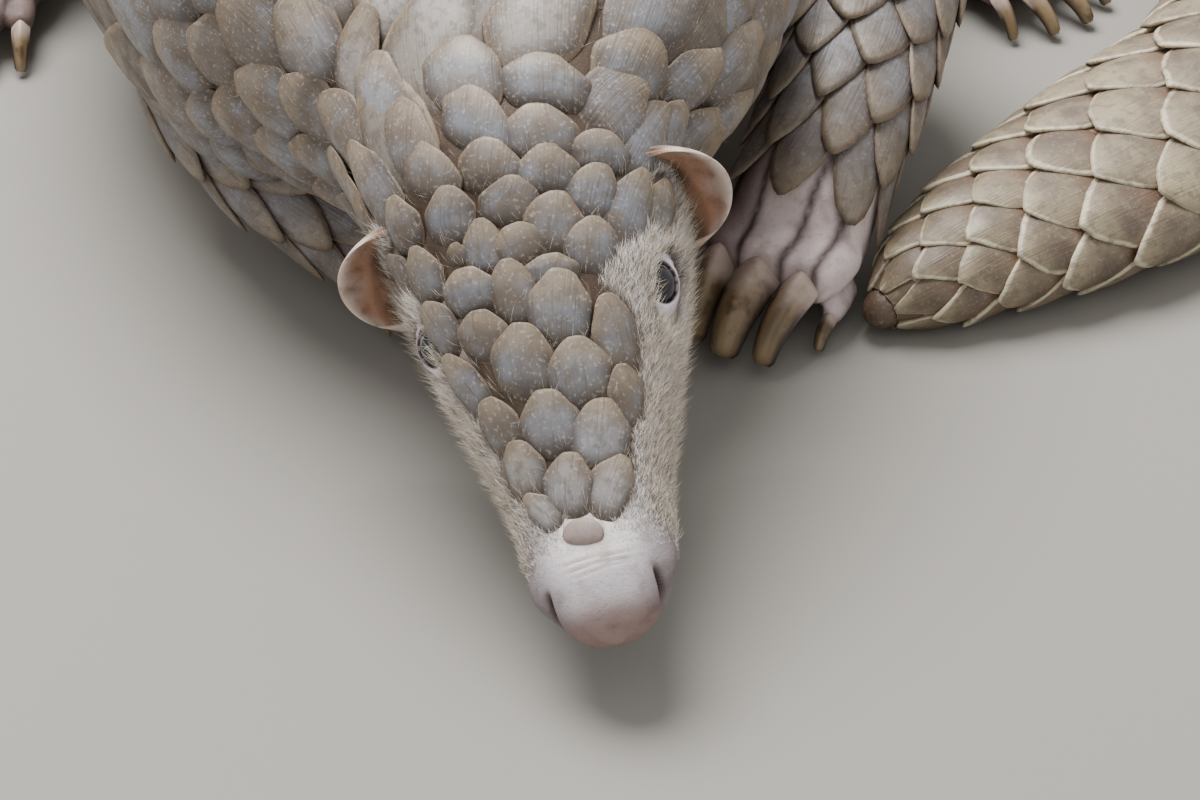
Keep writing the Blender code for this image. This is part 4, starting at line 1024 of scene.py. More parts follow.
@dataclass
class ScaleShape:
    """The shape that a set of scales shares: a domed shield with a rounded root and a free hind edge."""

    sides: int = 20
    rings: tuple[float, ...] = (0.45, 0.80)
    pointed: float = 0.72
    straight: float = 1.7
    front: float = 0.52
    angled: float = 0.0
    root_sink: float = 0.6 * MM
    dome: float = 0.10
    thick: float = 0.8 * MM
    ragged: float = 0.012
    seed: int = 5

    # How often each wave of the ragged outline goes round a scale, and its share of the raggedness.
    WAVES = ((2, 1.0), (3, 1.2), (5, 0.8), (7, 0.7), (9, 0.5))
    # The rim and the foot under it, as the share of the outline and of the thickness.
    EDGE = [(1.0, 0.15), (0.95, 1.0)]

    def outline(self) -> tuple[Array, Array]:
        """Returns the outline's places, in half lengths backwards and half widths across."""
        angle = 2 * np.pi * np.arange(self.sides) / self.sides
        back, across = np.cos(angle), np.sin(angle)
        width = np.where(
            back > 0,
            (1 - np.abs(back) ** self.straight) ** self.pointed,
            (1 - np.abs(back) ** 2.8) ** self.front,
        )
        straight_edge = np.clip((1.16 - back) / 0.76, 0.0, 1.0)
        width = np.where(back > 0, width + (straight_edge - width) * self.angled, width)
        return back - 0.10 * across**2, np.sign(np.round(across, 9)) * width

    def faces(self) -> list[tuple[int, ...]]:
        """Returns the faces of one scale, whose points are its crown, its rings outwards and its foot."""
        sides, bands = self.sides, len(self.rings) + 1
        foot = 1 + bands * sides
        faces = [(0, 1 + n, 1 + (n + 1) % sides) for n in range(sides)]
        faces += ring_faces(sides, bands + 1, first=1)
        faces.append(tuple(foot + n for n in range(sides - 1, -1, -1)))
        return faces

    def lift(self, scales: ScaleSet, reach: Array, radius: float) -> Array:
        """Returns how high the scales' tops lie at a reach backwards and a radius from the crown.

        Args:
            scales: The scales.
            reach: Places along each scale, from -1 at its root to 1 at its tip.
            radius: The share of the way from the crown to the outline.

        Returns:
            The heights over the form.
        """
        rise, half_wide = scales.rise[:, None], scales.half_wide[:, None]
        slope = -self.root_sink + (rise + self.root_sink) * np.clip((reach + 1) / 2, 0, 1) ** 1.25
        return slope + self.dome * half_wide * (1 - radius**2.2)

    def build(self, name: str, form: BodyForm, scales: ScaleSet) -> bpy.types.Object:
        """Makes one object of all the scales.

        Args:
            name: The object's name.
            form: The form that they lie on.
            scales: Their places and sizes.

        Returns:
            The object, with its tone, reach, edge and pale marks and its Grain map.
        """
        random = np.random.default_rng(self.seed)
        back, across = self.outline()
        count, sides = len(scales.along), self.sides
        angle = 2 * np.pi * np.arange(sides) / sides
        wobble = np.ones((count, sides))
        for waves, share in self.WAVES:
            phase = random.uniform(0, 2 * np.pi, (count, 1))
            strength = random.uniform(0.3, 1.0, (count, 1))
            wobble += self.ragged * share * np.cos(waves * angle + phase) * strength
        lengths, widths, radii, lifts = [], [], [], []
        for radius, depth in [(0.0, 0.0)] + [(radius, 0.0) for radius in self.rings] + self.EDGE:
            spread = wobble * radius if radius else np.zeros((count, 1))
            reach = spread * back if radius else np.zeros((count, 1))
            side = spread * across if radius else np.zeros((count, 1))
            lengths.append(reach)
            widths.append(side)
            radii.append(np.full(reach.shape, radius if depth < 1 else 1.0))
            lifts.append(self.lift(scales, reach, radius) - depth * self.thick)
        reach, side = np.concatenate(lengths, axis=1), np.concatenate(widths, axis=1)
        edge, lift = np.concatenate(radii, axis=1), np.concatenate(lifts, axis=1)
        run, over = reach * scales.half_long[:, None], side * scales.half_wide[:, None]
        yaw = scales.yaw[:, None]
        along = scales.along[:, None] + run * np.cos(yaw) - over * np.sin(yaw)
        arc = run * np.sin(yaw) + over * np.cos(yaw)
        turn = scales.turn[:, None] + arc / form.girth(scales.along)[:, None]
        points = form.spot(along, turn, lift).reshape(-1, 3)
        thing = Piece.from_arrays(name, points, self.faces(), count)
        tone = np.repeat(random.uniform(0, 1, count), reach.shape[1])
        pale = np.repeat(scales.pale, reach.shape[1])
        Piece.mark(thing, tone=tone, reach=(reach.ravel() + 1) / 2, edge=edge.ravel(), pale=pale)
        shift = random.uniform(0, 1, (count, 2))
        grain = np.stack([over + shift[:, :1], run + shift[:, 1:]], axis=-1).reshape(-1, 2)
        Piece.chart(thing, "Grain", grain)
        return thing


# The head's and nape's scales as read from the photo: pixels of the free tip, pixels of the front end and
# the width in millimetres.
READ_SCALES = [
    ((530, 496), (558, 527), 4.6), ((572, 454), (568, 513), 7.9), ((622, 457), (602, 514), 6.5),
    ((519, 440), (530, 498), 7.7), ((546, 390), (556, 455), 9.3), ((601, 400), (600, 467), 8.9),
    ((492, 396), (510, 455), 7.6), ((575, 337), (585, 407), 9.5), ((523, 322), (526, 399), 9.5),
    ((602, 296), (625, 375), 7.4), ((618, 365), (632, 427), 6.0), ((450, 353), (486, 415), 6.6),
    ((483, 309), (488, 362), 8.8), ((560, 270), (560, 342), 9.6), ((430, 302), (455, 352), 7.5),
    ((508, 260), (520, 320), 7.2), ((468, 268), (475, 313), 10.0), ((421, 246), (432, 302), 8.6),
    ((393, 276), (418, 326), 5.0), ((550, 255), (552, 285), 8.5), ((458, 243), (460, 266), 3.8),
    ((482, 220), (488, 272), 6.8), ((512, 225), (528, 264), 8.0), ((590, 218), (592, 272), 8.4),
    ((378, 229), (392, 278), 6.4), ((556, 193), (552, 250), 9.1), ((452, 187), (452, 241), 9.2),
    ((397, 196), (412, 251), 8.5), ((360, 178), (378, 246), 9.0), ((513, 177), (508, 224), 9.2),
    ((596, 165), (590, 216), 8.4), ((640, 172), (620, 245), 7.8), ((545, 147), (546, 195), 10.6),
    ((495, 141), (488, 194), 10.6), ((435, 145), (430, 202), 11.0), ((345, 150), (352, 215), 9.8),
    ((598, 132), (600, 172), 10.2), ((663, 107), (628, 172), 7.8), ((537, 107), (545, 160), 15.8),
    ((484, 92), (478, 152), 14.4), ((415, 103), (412, 182), 12.3), ((641, 83), (598, 130), 12.3),
    ((547, 58), (548, 108), 17.4), ((648, 36), (625, 98), 17.4), ((466, 40), (466, 108), 16.4),
    ((388, 53), (385, 152), 13.8), ((540, -25), (540, 65), 21.0), ((443, -30), (443, 62), 17.5),
    ((665, -45), (640, 48), 20.0), ((745, 50), (725, 118), 9.5), ((375, 5), (355, 115), 9.5),
]
ROUND_PLATE = ((583, 518), (583, 545), 6.2)

# How far the scales reach to either side of the head's middle, by the distance behind the nose.
SHIELD_HALF = [
    (2.2 * CM, 0.6 * CM), (2.7 * CM, 1.35 * CM), (4.2 * CM, 1.65 * CM), (5.8 * CM, 1.55 * CM),
    (7.2 * CM, 1.9 * CM), (8.6 * CM, 2.6 * CM), (9.5 * CM, 3.6 * CM),
]


@dataclass
class HeadScales:
    """The scales of the head and nape, placed one by one."""

    spine: BodyForm
    view: PhotoView
    rise: float = 1.7 * MM
    trace_end: float = 24.0 * CM
    root_length: float = 1.12
    near_pixels: float = 26.0
    widen: float = 1.21
    seen_turn: float = 0.47
    fill_end: float = 17.5 * CM
    fill_seed: int = 17
    fill_start: float = 7.6 * CM
    fill_step: float = 0.16 * CM
    fill_side_step: float = 0.10 * CM
    fill_aspect: float = 0.80
    placed: ScaleSet = field(init=False)

    # How far round the nape the scales reach and their half lengths, by the distance behind the nose.
    FILL_LIMIT = [(7.6 * CM, 0.40), (8.8 * CM, 0.42), (10.2 * CM, 0.60), (14.0 * CM, 0.66)]
    FILL_LONG = [
        (7.6 * CM, 0.50 * CM), (10.0 * CM, 0.70 * CM), (13.0 * CM, 0.95 * CM), (17.5 * CM, 1.35 * CM),
    ]
    # How far apart two filled scales lie at least, in their mean half lengths and half widths.
    FILL_APART = (1.36, 1.84)

    def __post_init__(self) -> None:
        """Places the scales."""
        self.placed = self.places()

    def places(self) -> ScaleSet:
        """Returns the scales' places and sizes."""
        tracer = Tracer(self.spine, self.view, self.trace_end)
        listed = READ_SCALES + [ROUND_PLATE]
        tips = np.array([scale[0] for scale in listed], float)
        roots = np.array([scale[1] for scale in listed], float)
        tip_along, tip_turn = tracer.find(tips)
        root_along, root_turn = tracer.find(roots)
        girth = self.spine.girth((tip_along + root_along) / 2)
        run, over = tip_along - root_along, (tip_turn - root_turn) * girth
        long = np.hypot(run, over)
        wide = np.array([scale[2] for scale in listed]) * MM / 2
        wide *= self.widen - 0.28 * ramp(wide, 4.8 * MM, 7.2 * MM)
        gap = np.linalg.norm(tips[None, :] - roots[:, None], axis=2)
        grow = np.where(gap.min(axis=1) < self.near_pixels, self.root_length, 1.06)
        grow[-1] = 1.0
        middle = 1 - grow / 2
        along = root_along + (tip_along - root_along) * middle
        turn = root_turn + (tip_turn - root_turn) * middle
        rise = self.rise * (0.75 + 0.06 * wide / MM)
        rise[-1] = 0.35 * MM
        yaw = np.arctan2(over, run)
        read = ScaleSet(along, turn, long * grow / 2, wide, yaw, rise, np.zeros(len(along)))
        seen = np.abs(turn) < self.seen_turn
        seen[-1] = True
        read = read.only(seen)
        whole = ScaleSet(*(np.concatenate([more, known]) for more, known in zip(self.fill(read), read)))
        # Paler middles on the top of the nape, partly the horn's pale grey and partly a painted highlight of
        # the light from above, and paler front scales by the snout.
        pale = 0.80 * ramp(whole.along, 9.0 * CM, 12.5 * CM) * ramp(np.abs(whole.turn), 0.38, 0.08)
        pale *= 1 - 0.75 * ramp(whole.along, 13.6 * CM, 16.5 * CM)
        pale += 0.26 * ramp(whole.along, 4.0 * CM, 3.0 * CM)
        pale[-1] = 0.0
        return whole._replace(pale=pale)

    def fill(self, read: ScaleSet) -> ScaleSet:
        """Returns scales for the bare places of the nape and its sides, which the photo hides or crops.

        Args:
            read: The scales that were read from the photo.

        Returns:
            More scales, each set where it is clear of those before it.
        """
        random = np.random.default_rng(self.fill_seed)
        taken = [list(values) for values in zip(read.along, read.turn, read.half_long, read.half_wide)]
        found = []
        for along in np.arange(self.fill_start, self.fill_end, self.fill_step):
            limit = float(blend(self.FILL_LIMIT, along))
            girth = float(self.spine.girth(along))
            half_long = float(blend(self.FILL_LONG, along))
            half_wide = half_long * self.fill_aspect
            for turn in random.permutation(np.arange(-limit, limit, self.fill_side_step / girth)):
                clear = True
                for at, at_turn, long, wide in taken:
                    run = (along - at) / (0.5 * (long + half_long) * self.FILL_APART[0])
                    over = (turn - at_turn) * girth / (0.5 * (wide + half_wide) * self.FILL_APART[1])
                    if run * run + over * over < 1:
                        clear = False
                        break
                if clear:
                    size = 1 + 0.10 * random.uniform(-1, 1)
                    taken.append([along, turn, half_long * size, half_wide * size])
                    found.append([along, turn, half_long * size * 1.1, half_wide * size * 1.06])
        along, turn, half_long, half_wide = np.array(found).T
        yaw = 0.12 * random.uniform(-1, 1, len(along)) + 0.25 * turn
        rise = self.rise * (0.75 + 0.06 * half_wide / MM)
        return ScaleSet(along, turn, half_long, half_wide, yaw, rise, np.zeros(len(along)))

    def build(self) -> None:
        """Makes the scales, and the round plate of the snout by itself."""
        shape = ScaleShape(
            sides=36, rings=(0.25, 0.5, 0.72, 0.88, 0.965), pointed=0.50, straight=2.2, front=0.50,
            angled=0.62, root_sink=0.35 * MM, dome=0.22, thick=0.55 * MM, ragged=0.022, seed=11,
        )
        # Small shields of smooth horn: they give blue-grey plates, edged brown, the brown sides partly soil
        # and partly painted shade where the domes fall away.
        horn = HornFinish(
            "slate_head_horn", centre="#7d8088", deep="#6b5f54", tip="#94846f", root="#483d35", rim="#776655",
            pale="#dbd5d2", dust=0.30, side_share=0.84, root_start=0.68,
        )
        thing = shape.build("scales_head", self.spine, self.placed.only(slice(None, -1)))
        Piece.dress(thing, horn.build(), "scales")
        round_shape = ScaleShape(
            sides=36, rings=(0.3, 0.6, 0.8, 0.94), pointed=0.5, straight=2.0, front=0.5, root_sink=0.1 * MM,
            dome=0.16, thick=0.4 * MM, ragged=0.006, seed=12,
        )
        # Thin horn through which the skin shows: it gives a pinkish button, paler than the scales behind it.
        thin_horn = HornFinish(
            "pinkish_snout_plate", centre="#9c8d8a", deep="#8f7d78", tip="#9c8b84", root="#8e7d77",
            rim="#7f6d66", pale="#cbc8c8", side_share=0.4, dust=0.1,
        )
        plate = round_shape.build("scale_snout", self.spine, self.placed.only(slice(-1, None)))
        Piece.dress(plate, thin_horn.build(), "scales")


# The trunk's lattice by the distance along the spine: half the scaled columns, the share of the girth that
# they cover, the rows' spacing and how far the scales' tips stand out.
TRUNK_COLUMNS = 26
TRUNK_SCALED = [(9.5 * CM, 6.1), (17.0 * CM, 9.0), (28.0 * CM, 9.0), (39.8 * CM, 5.1)]
TRUNK_COVERED = [(9.5 * CM, 0.60), (16.0 * CM, 0.67), (30.0 * CM, 0.67), (39.8 * CM, 0.82)]
TRUNK_PITCH = [
    (9.5 * CM, 0.80 * CM), (13.0 * CM, 1.10 * CM), (20.0 * CM, 1.62 * CM), (39.8 * CM, 1.70 * CM),
]
TRUNK_RISE = [(9.5 * CM, 1.87 * MM), (18.0 * CM, 3.4 * MM)]
# The tail's lattice goes all the way round.
TAIL_COLUMNS = 12
TAIL_PITCH = [
    (39.8 * CM, 1.60 * CM), (56.0 * CM, 1.32 * CM), (66.0 * CM, 0.98 * CM), (72.0 * CM, 0.62 * CM),
]
TAIL_SCALED = [(0.0, TAIL_COLUMNS / 2)]
TAIL_COVERED = [(0.0, 1.0)]
TAIL_RISE = [(39.8 * CM, 3.2 * MM), (60.0 * CM, 2.4 * MM), (76.0 * CM, 1.12 * MM)]
# The limbs' lattice is the same all along and leaves their inner sides bare.
LIMB_COLUMNS = 16
LIMB_SCALED = [(0.0, 5.0)]
LIMB_COVERED = [(0.0, 0.66)]
LIMB_PITCH = [(0.0, 0.92 * CM)]
LIMB_RISE = [(0.0, 2.3 * MM)]


@dataclass
class Lattice:
    """Staggered rows of scales round a form, on the same rows and columns as the solids."""

    form: BodyForm
    start: float
    end: float
    columns: int
    pitch: Table
    scaled: Table
    covered: Table
    rise: Table
    long: float = 1.28
    wide: float = 1.06
    seed: int = 3

    def rows(self) -> Array:
        """Returns the distances of the rows, fitted to the end."""
        places = [self.start]
        while places[-1] < self.end:
            places.append(places[-1] + float(blend(self.pitch, places[-1])))
        places = np.array(places)
        return self.start + (places - self.start) * (self.end - self.start) / (places[-1] - self.start)

    def places(self, keep: Callable[[Array, Array, Array], Array]) -> ScaleSet:
        """Returns the scales' places and sizes.

        Args:
            keep: Tells from distances, turns and points which places hold a scale.

        Returns:
            The scales.
        """
        random = np.random.default_rng(self.seed)
        rows, half = self.rows(), self.columns // 2
        found = []
        for ring, along in enumerate(rows):
            pitch = float(rows[min(ring + 1, len(rows) - 1)] - rows[min(ring, len(rows) - 2)])
            scaled, covered = float(blend(self.scaled, along)), float(blend(self.covered, along))
            for column in range(-half + (ring - half) % 2, half, 2):
                if abs(column) <= scaled + 0.01:
                    found.append((along, column / scaled * covered, pitch, covered / scaled))
        along, turn, pitch, column_turn = np.array(found).T
        kept = keep(along, turn, self.form.spot(along, turn))
        along, turn, pitch, column_turn = along[kept], turn[kept], pitch[kept], column_turn[kept]
        count = len(along)
        column = column_turn * self.form.girth(along)
        vary = 1 + 0.05 * random.uniform(-1, 1, (4, count))
        along = along + pitch * (0.10 + 0.05 * random.uniform(-1, 1, count))
        turn = turn + column_turn * 0.06 * random.uniform(-1, 1, count)
        yaw = 0.06 * random.uniform(-1, 1, count)
        rise = blend(self.rise, along) * vary[2]
        # Paler on the top of the back's front: partly pale-grey horn, partly a painted highlight of the light
        # from above.
        pale = 0.38 * ramp(along, 30 * CM, 15 * CM) * ramp(np.abs(turn), 0.42, 0.10) * vary[3]
        half_long, half_wide = pitch * self.long * vary[0], column * self.wide * vary[1]
        return ScaleSet(along, turn, half_long, half_wide, yaw, rise, pale)


@dataclass
class TrunkScales:
    """The scales of the neck and trunk behind those that are placed one by one."""

    spine: BodyForm
    head: ScaleSet
    start: float = HEAD_END
    clear: float = 0.62
    gap: float = 1.5 * MM

    def keep(self, along: Array, turn: Array, point: Array) -> Array:
        """Tells which places are behind the scales placed one by one and not under a limb's root.

        Args:
            along: Distances along the form.
            turn: Turns round it. Not used.
            point: The places' points.

        Returns:
            Whether each place holds a scale.
        """
        kept = np.ones(len(along), bool)
        placed = self.spine.spot(self.head.along, self.head.turn)
        reach = np.maximum(self.head.half_long, self.head.half_wide)
        for place, size in zip(placed, reach):
            kept &= np.linalg.norm(point - place, axis=1) > self.clear * size + self.gap
        for limb in LIMBS:
            for first, second in zip(limb.leg[:2], limb.leg[1:3]):
                a, b = np.array(first[:3]) * CM, np.array(second[:3]) * CM
                f = np.clip((point - a) @ (b - a) / np.sum((b - a) ** 2), 0, 1)
                kept &= np.linalg.norm(point - (a + f[:, None] * (b - a)), axis=1) > 0.95 * first.half * CM
        return kept

    def build(self) -> None:
        """Makes the scales."""
        end = float(self.spine.knots[TAIL_ROOT_STATION])
        lattice = Lattice(
            self.spine, self.start, end, TRUNK_COLUMNS, TRUNK_PITCH, TRUNK_SCALED, TRUNK_COVERED, TRUNK_RISE
        )
        shape = ScaleShape(
            sides=22, rings=(0.42, 0.76, 0.95), pointed=0.80, straight=1.45, dome=0.11, thick=0.9 * MM,
            ragged=0.014, seed=21,
        )
        # Old horn, scoured by burrows: it gives dull grey-brown scales with tan ends.
        horn = HornFinish(
            "worn_trunk_horn", centre="#766e63", deep="#554a40", tip="#908168", root="#483c33", rim="#8f7e69",
            pale="#b5afa9", dust=0.14,
        )
        thing = shape.build("scales_trunk", self.spine, lattice.places(self.keep))
        Piece.dress(thing, horn.build(), "scales")


@dataclass
class TailScales:
    """The tail's broad scales, and the blunt one at its end."""

    spine: BodyForm
    floor_clear: float = 0.06 * CM
    tip_half: float = 0.41 * CM
    tip_long: float = 0.50 * CM

    def build(self) -> None:
        """Makes the scales."""
        start = float(self.spine.knots[TAIL_ROOT_STATION])
        lattice = Lattice(
            self.spine, start, self.spine.length, TAIL_COLUMNS, TAIL_PITCH, TAIL_SCALED, TAIL_COVERED,
            TAIL_RISE, long=1.16, wide=0.99, seed=8,
        )
        scales = lattice.places(lambda along, turn, point: point[:, 2] > self.floor_clear)
        scales = scales._replace(pale=0.85 * ramp(scales.along, 66 * CM, 75 * CM))
        shape = ScaleShape(
            sides=24, rings=(0.42, 0.76, 0.93), pointed=0.78, straight=1.5, dome=0.13, thick=0.9 * MM,
            ragged=0.028, seed=31,
        )
        # Horn rubbed on the ground and bleached at its edge: it gives olive scales with cream rims.
        horn = HornFinish(
            "olive_tail_horn", centre="#92866f", deep="#62554a", tip="#b0a586", root="#6b4f40", rim="#d4cbb0",
            pale="#54412f", roughness=0.45, rim_start=0.87, tip_share=0.6, side_share=0.45, dust=0.14,
        ).build()
        Piece.dress(shape.build("scales_tail", self.spine, scales), horn, "scales")
        self.tip(horn)

    def tip(self, horn: bpy.types.Material) -> None:
        """Makes the one blunt scale that closes the tail's end.

        Args:
            horn: Its material.
        """
        mesh = bmesh.new()
        bmesh.ops.create_uvsphere(mesh, u_segments=32, v_segments=20, radius=1.0)
        middles = self.spine.middles
        heading = Vector(middles[-1] - middles[-3]).normalized()
        turn = heading.to_track_quat("Z", "Y").to_matrix().to_4x4()
        size = Matrix.Diagonal((self.tip_half, self.tip_half, self.tip_long, 1.0))
        reach = np.array([(vertex.co.z + 1) / 2 for vertex in mesh.verts])
        grain = np.array([vertex.co.xz for vertex in mesh.verts]) * (self.tip_half, self.tip_long)
        bmesh.ops.transform(mesh, verts=mesh.verts[:], matrix=Matrix.Translation(middles[-1]) @ turn @ size)
        for vertex in mesh.verts:
            vertex.co.z = max(vertex.co.z, 0.0)
        thing = Piece.from_bmesh("scale_tail_tip", mesh)
        level = np.zeros(len(reach))
        Piece.mark(thing, tone=level + 0.8, reach=reach * 0.6, edge=level + 0.4, pale=level + 0.85)
        Piece.chart(thing, "Grain", grain)
        Piece.dress(thing, horn, "scales")


class Digit(NamedTuple):
    """Where a digit starts inside the palm, where its claw leaves it and which way it points."""

    root: Vector
    knuckle: Vector
    heading: Vector
    claw: Claw


@dataclass
class LimbForm:
    """One limb's form and the places of its digits, as in the solids."""

    limb: Limb
    form: BodyForm = field(init=False)
    wrist: float = field(init=False)

    def __post_init__(self) -> None:
        """Samples the limb."""
        self.form = BodyForm(self.limb.leg + self.limb.palm)
        self.wrist = float(self.form.knots[len(self.limb.leg) - 1])

    def inward(self) -> Vector:
        """Returns the direction across the foot that points to the animal's middle."""
        side = Vector(self.form.sections(np.array([self.form.length]))[1][0])
        middle = Vector(self.form.middles[0]) - Vector(self.form.middles[-1])
        return side if side.dot(middle) > 0 else -side

    def digits(self) -> list[Digit]:
        """Returns the digits, across the palm."""
        middle, side, top, _ = (Vector(rows[0]) for rows in self.form.sections(np.array([self.form.length])))
        heading = side.cross(top)
        heading.z = 0.0
        heading.normalize()
        if heading.dot(middle - Vector(self.form.sections(np.array([self.wrist]))[0][0])) < 0:
            heading = -heading
        digits = []
        for claw in self.limb.claws:
            toe_heading = Matrix.Rotation(math.radians(-claw.splay), 3, "Z") @ heading
            root = middle + side * claw.across * CM - toe_heading * TOE_ROOT
            knuckle = root + toe_heading * (TOE_REACH + TOE_ROOT)
            knuckle.z = max(middle.z - claw.drop * CM, claw.thick * CM * 1.3)
            root.z = knuckle.z
            digits.append(Digit(root, knuckle, toe_heading, claw))
        return digits


@dataclass
class LimbScales:
    """The scales of the legs' outer sides."""

    limbs: list[LimbForm]
    spine: BodyForm
    seed: int = 50
    # The trunk's surface is read from this row of its samples on, and only every few rows and spokes. A scale
    # may lie as deep under it as the depth.
    behind_head: int = 90
    thinning: int = 3
    depth: float = 0.3 * CM

    def build(self) -> None:
        """Makes one object of scales for each limb."""
        # Small smooth horn: it gives scales greyer and a little glossier than the trunk's.
        horn = HornFinish(
            "grey_limb_horn", centre="#77757a", deep="#5f554f", tip="#8d806e", root="#473b33", rim="#8b7965",
            pale="#9a9a9e", roughness=0.48, dust=0.14,
        ).build()
        shape = ScaleShape(
            sides=18, rings=(0.45, 0.82), pointed=0.72, straight=1.7, dome=0.12, thick=0.7 * MM, ragged=0.014,
            seed=41,
        )
        for number, limb in enumerate(self.limbs):
            lattice = Lattice(
                limb.form, 0.0, limb.wrist, LIMB_COLUMNS, LIMB_PITCH, LIMB_SCALED, LIMB_COVERED, LIMB_RISE,
                seed=self.seed + number,
            )
            scales = lattice.places(lambda along, turn, point: self.outside(point))
            # The legs' tops a little paler, partly as a painted highlight.
            scales = scales._replace(pale=0.2 * scales.pale)
            thing = shape.build("scales_leg_" + limb.limb.name, limb.form, scales)
            Piece.dress(thing, horn, "scales")

    def outside(self, point: Array) -> Array:
        """Tells which points lie outside the trunk.

        Args:
            point: The points.

        Returns:
            Whether each one is outside.
        """
        part = (slice(self.behind_head, None, self.thinning), slice(None, None, self.thinning))
        outward = self.spine.normals[part].reshape(-1, 3)
        tree = tree_of(self.spine.points[part].reshape(-1, 3))
        kept = []
        for place in point:
            near, number, _ = tree.find(place)
            kept.append(Vector(outward[number]).dot(Vector(place) - near) > -self.depth)
        return np.array(kept)


@dataclass
class Face:
    """Where the head's features are, shared by the skin, lids, eyes and hair."""

    spine: BodyForm
    eye_back: float = 6.3 * CM
    eye_turn: float = 0.42
    eye_radius: float = 0.46 * CM
    eye_depth: float = 0.32 * CM
    socket_long: float = 0.52 * CM
    socket_wide: float = 0.46 * CM
    lid_long: float = 0.68 * CM
    lid_wide: float = 0.60 * CM
    ear_back: float = 8.05 * CM
    ear_turn: float = 0.46
    mouth_front: float = 0.42 * CM
    mouth_corner: float = 2.7 * CM
    mouth_turn: float = 0.74
    nostril_back: float = 0.78 * CM
    nostril_turn: float = 0.38

    def eye_axes(self, side: Side) -> tuple[Array, Array, Array, Array]:
        """Returns an eye's place on the skin and its outward, rearward and upward directions."""
        turn = side.value * self.eye_turn
        place = self.spine.spot(np.array(self.eye_back), np.array(turn))
        outward = self.spine.normal(np.array(self.eye_back), np.array(turn))
        rearward = self.spine.lie(np.array(self.eye_back), np.array(turn))
        upward = np.cross(outward, rearward) * side.value
        return place, outward, rearward, unit(upward)

    def mouth_line(self) -> tuple[Array, Array]:
        """Returns the distances and turns of the left half of the mouth's line."""
        f = np.linspace(0.0, 1.0, 40)
        along = self.mouth_corner + (self.mouth_front - self.mouth_corner) * np.sin(f * np.pi / 2)
        return along, self.mouth_turn + (1.0 - self.mouth_turn) * f**2.2


class Paint:
    """Colours for each point of a piece, laid over one another by region."""

    def __init__(self, tones: dict[str, str], base: str, count: int) -> None:
        """Starts the points in one tone.

        Args:
            tones: The colours by name.
            base: The name of the first one.
            count: How many points there are.
        """
        self.shade = dict(zip(tones, linear_rows(*tones.values())))
        self.tint = np.tile(self.shade[base], (count, 1))

    def lay(self, mask: Array, name: str) -> None:
        """Lays a tone over the points where the mask isn't 0."""
        self.tint = self.tint * (1 - mask[:, None]) + self.shade[name] * mask[:, None]


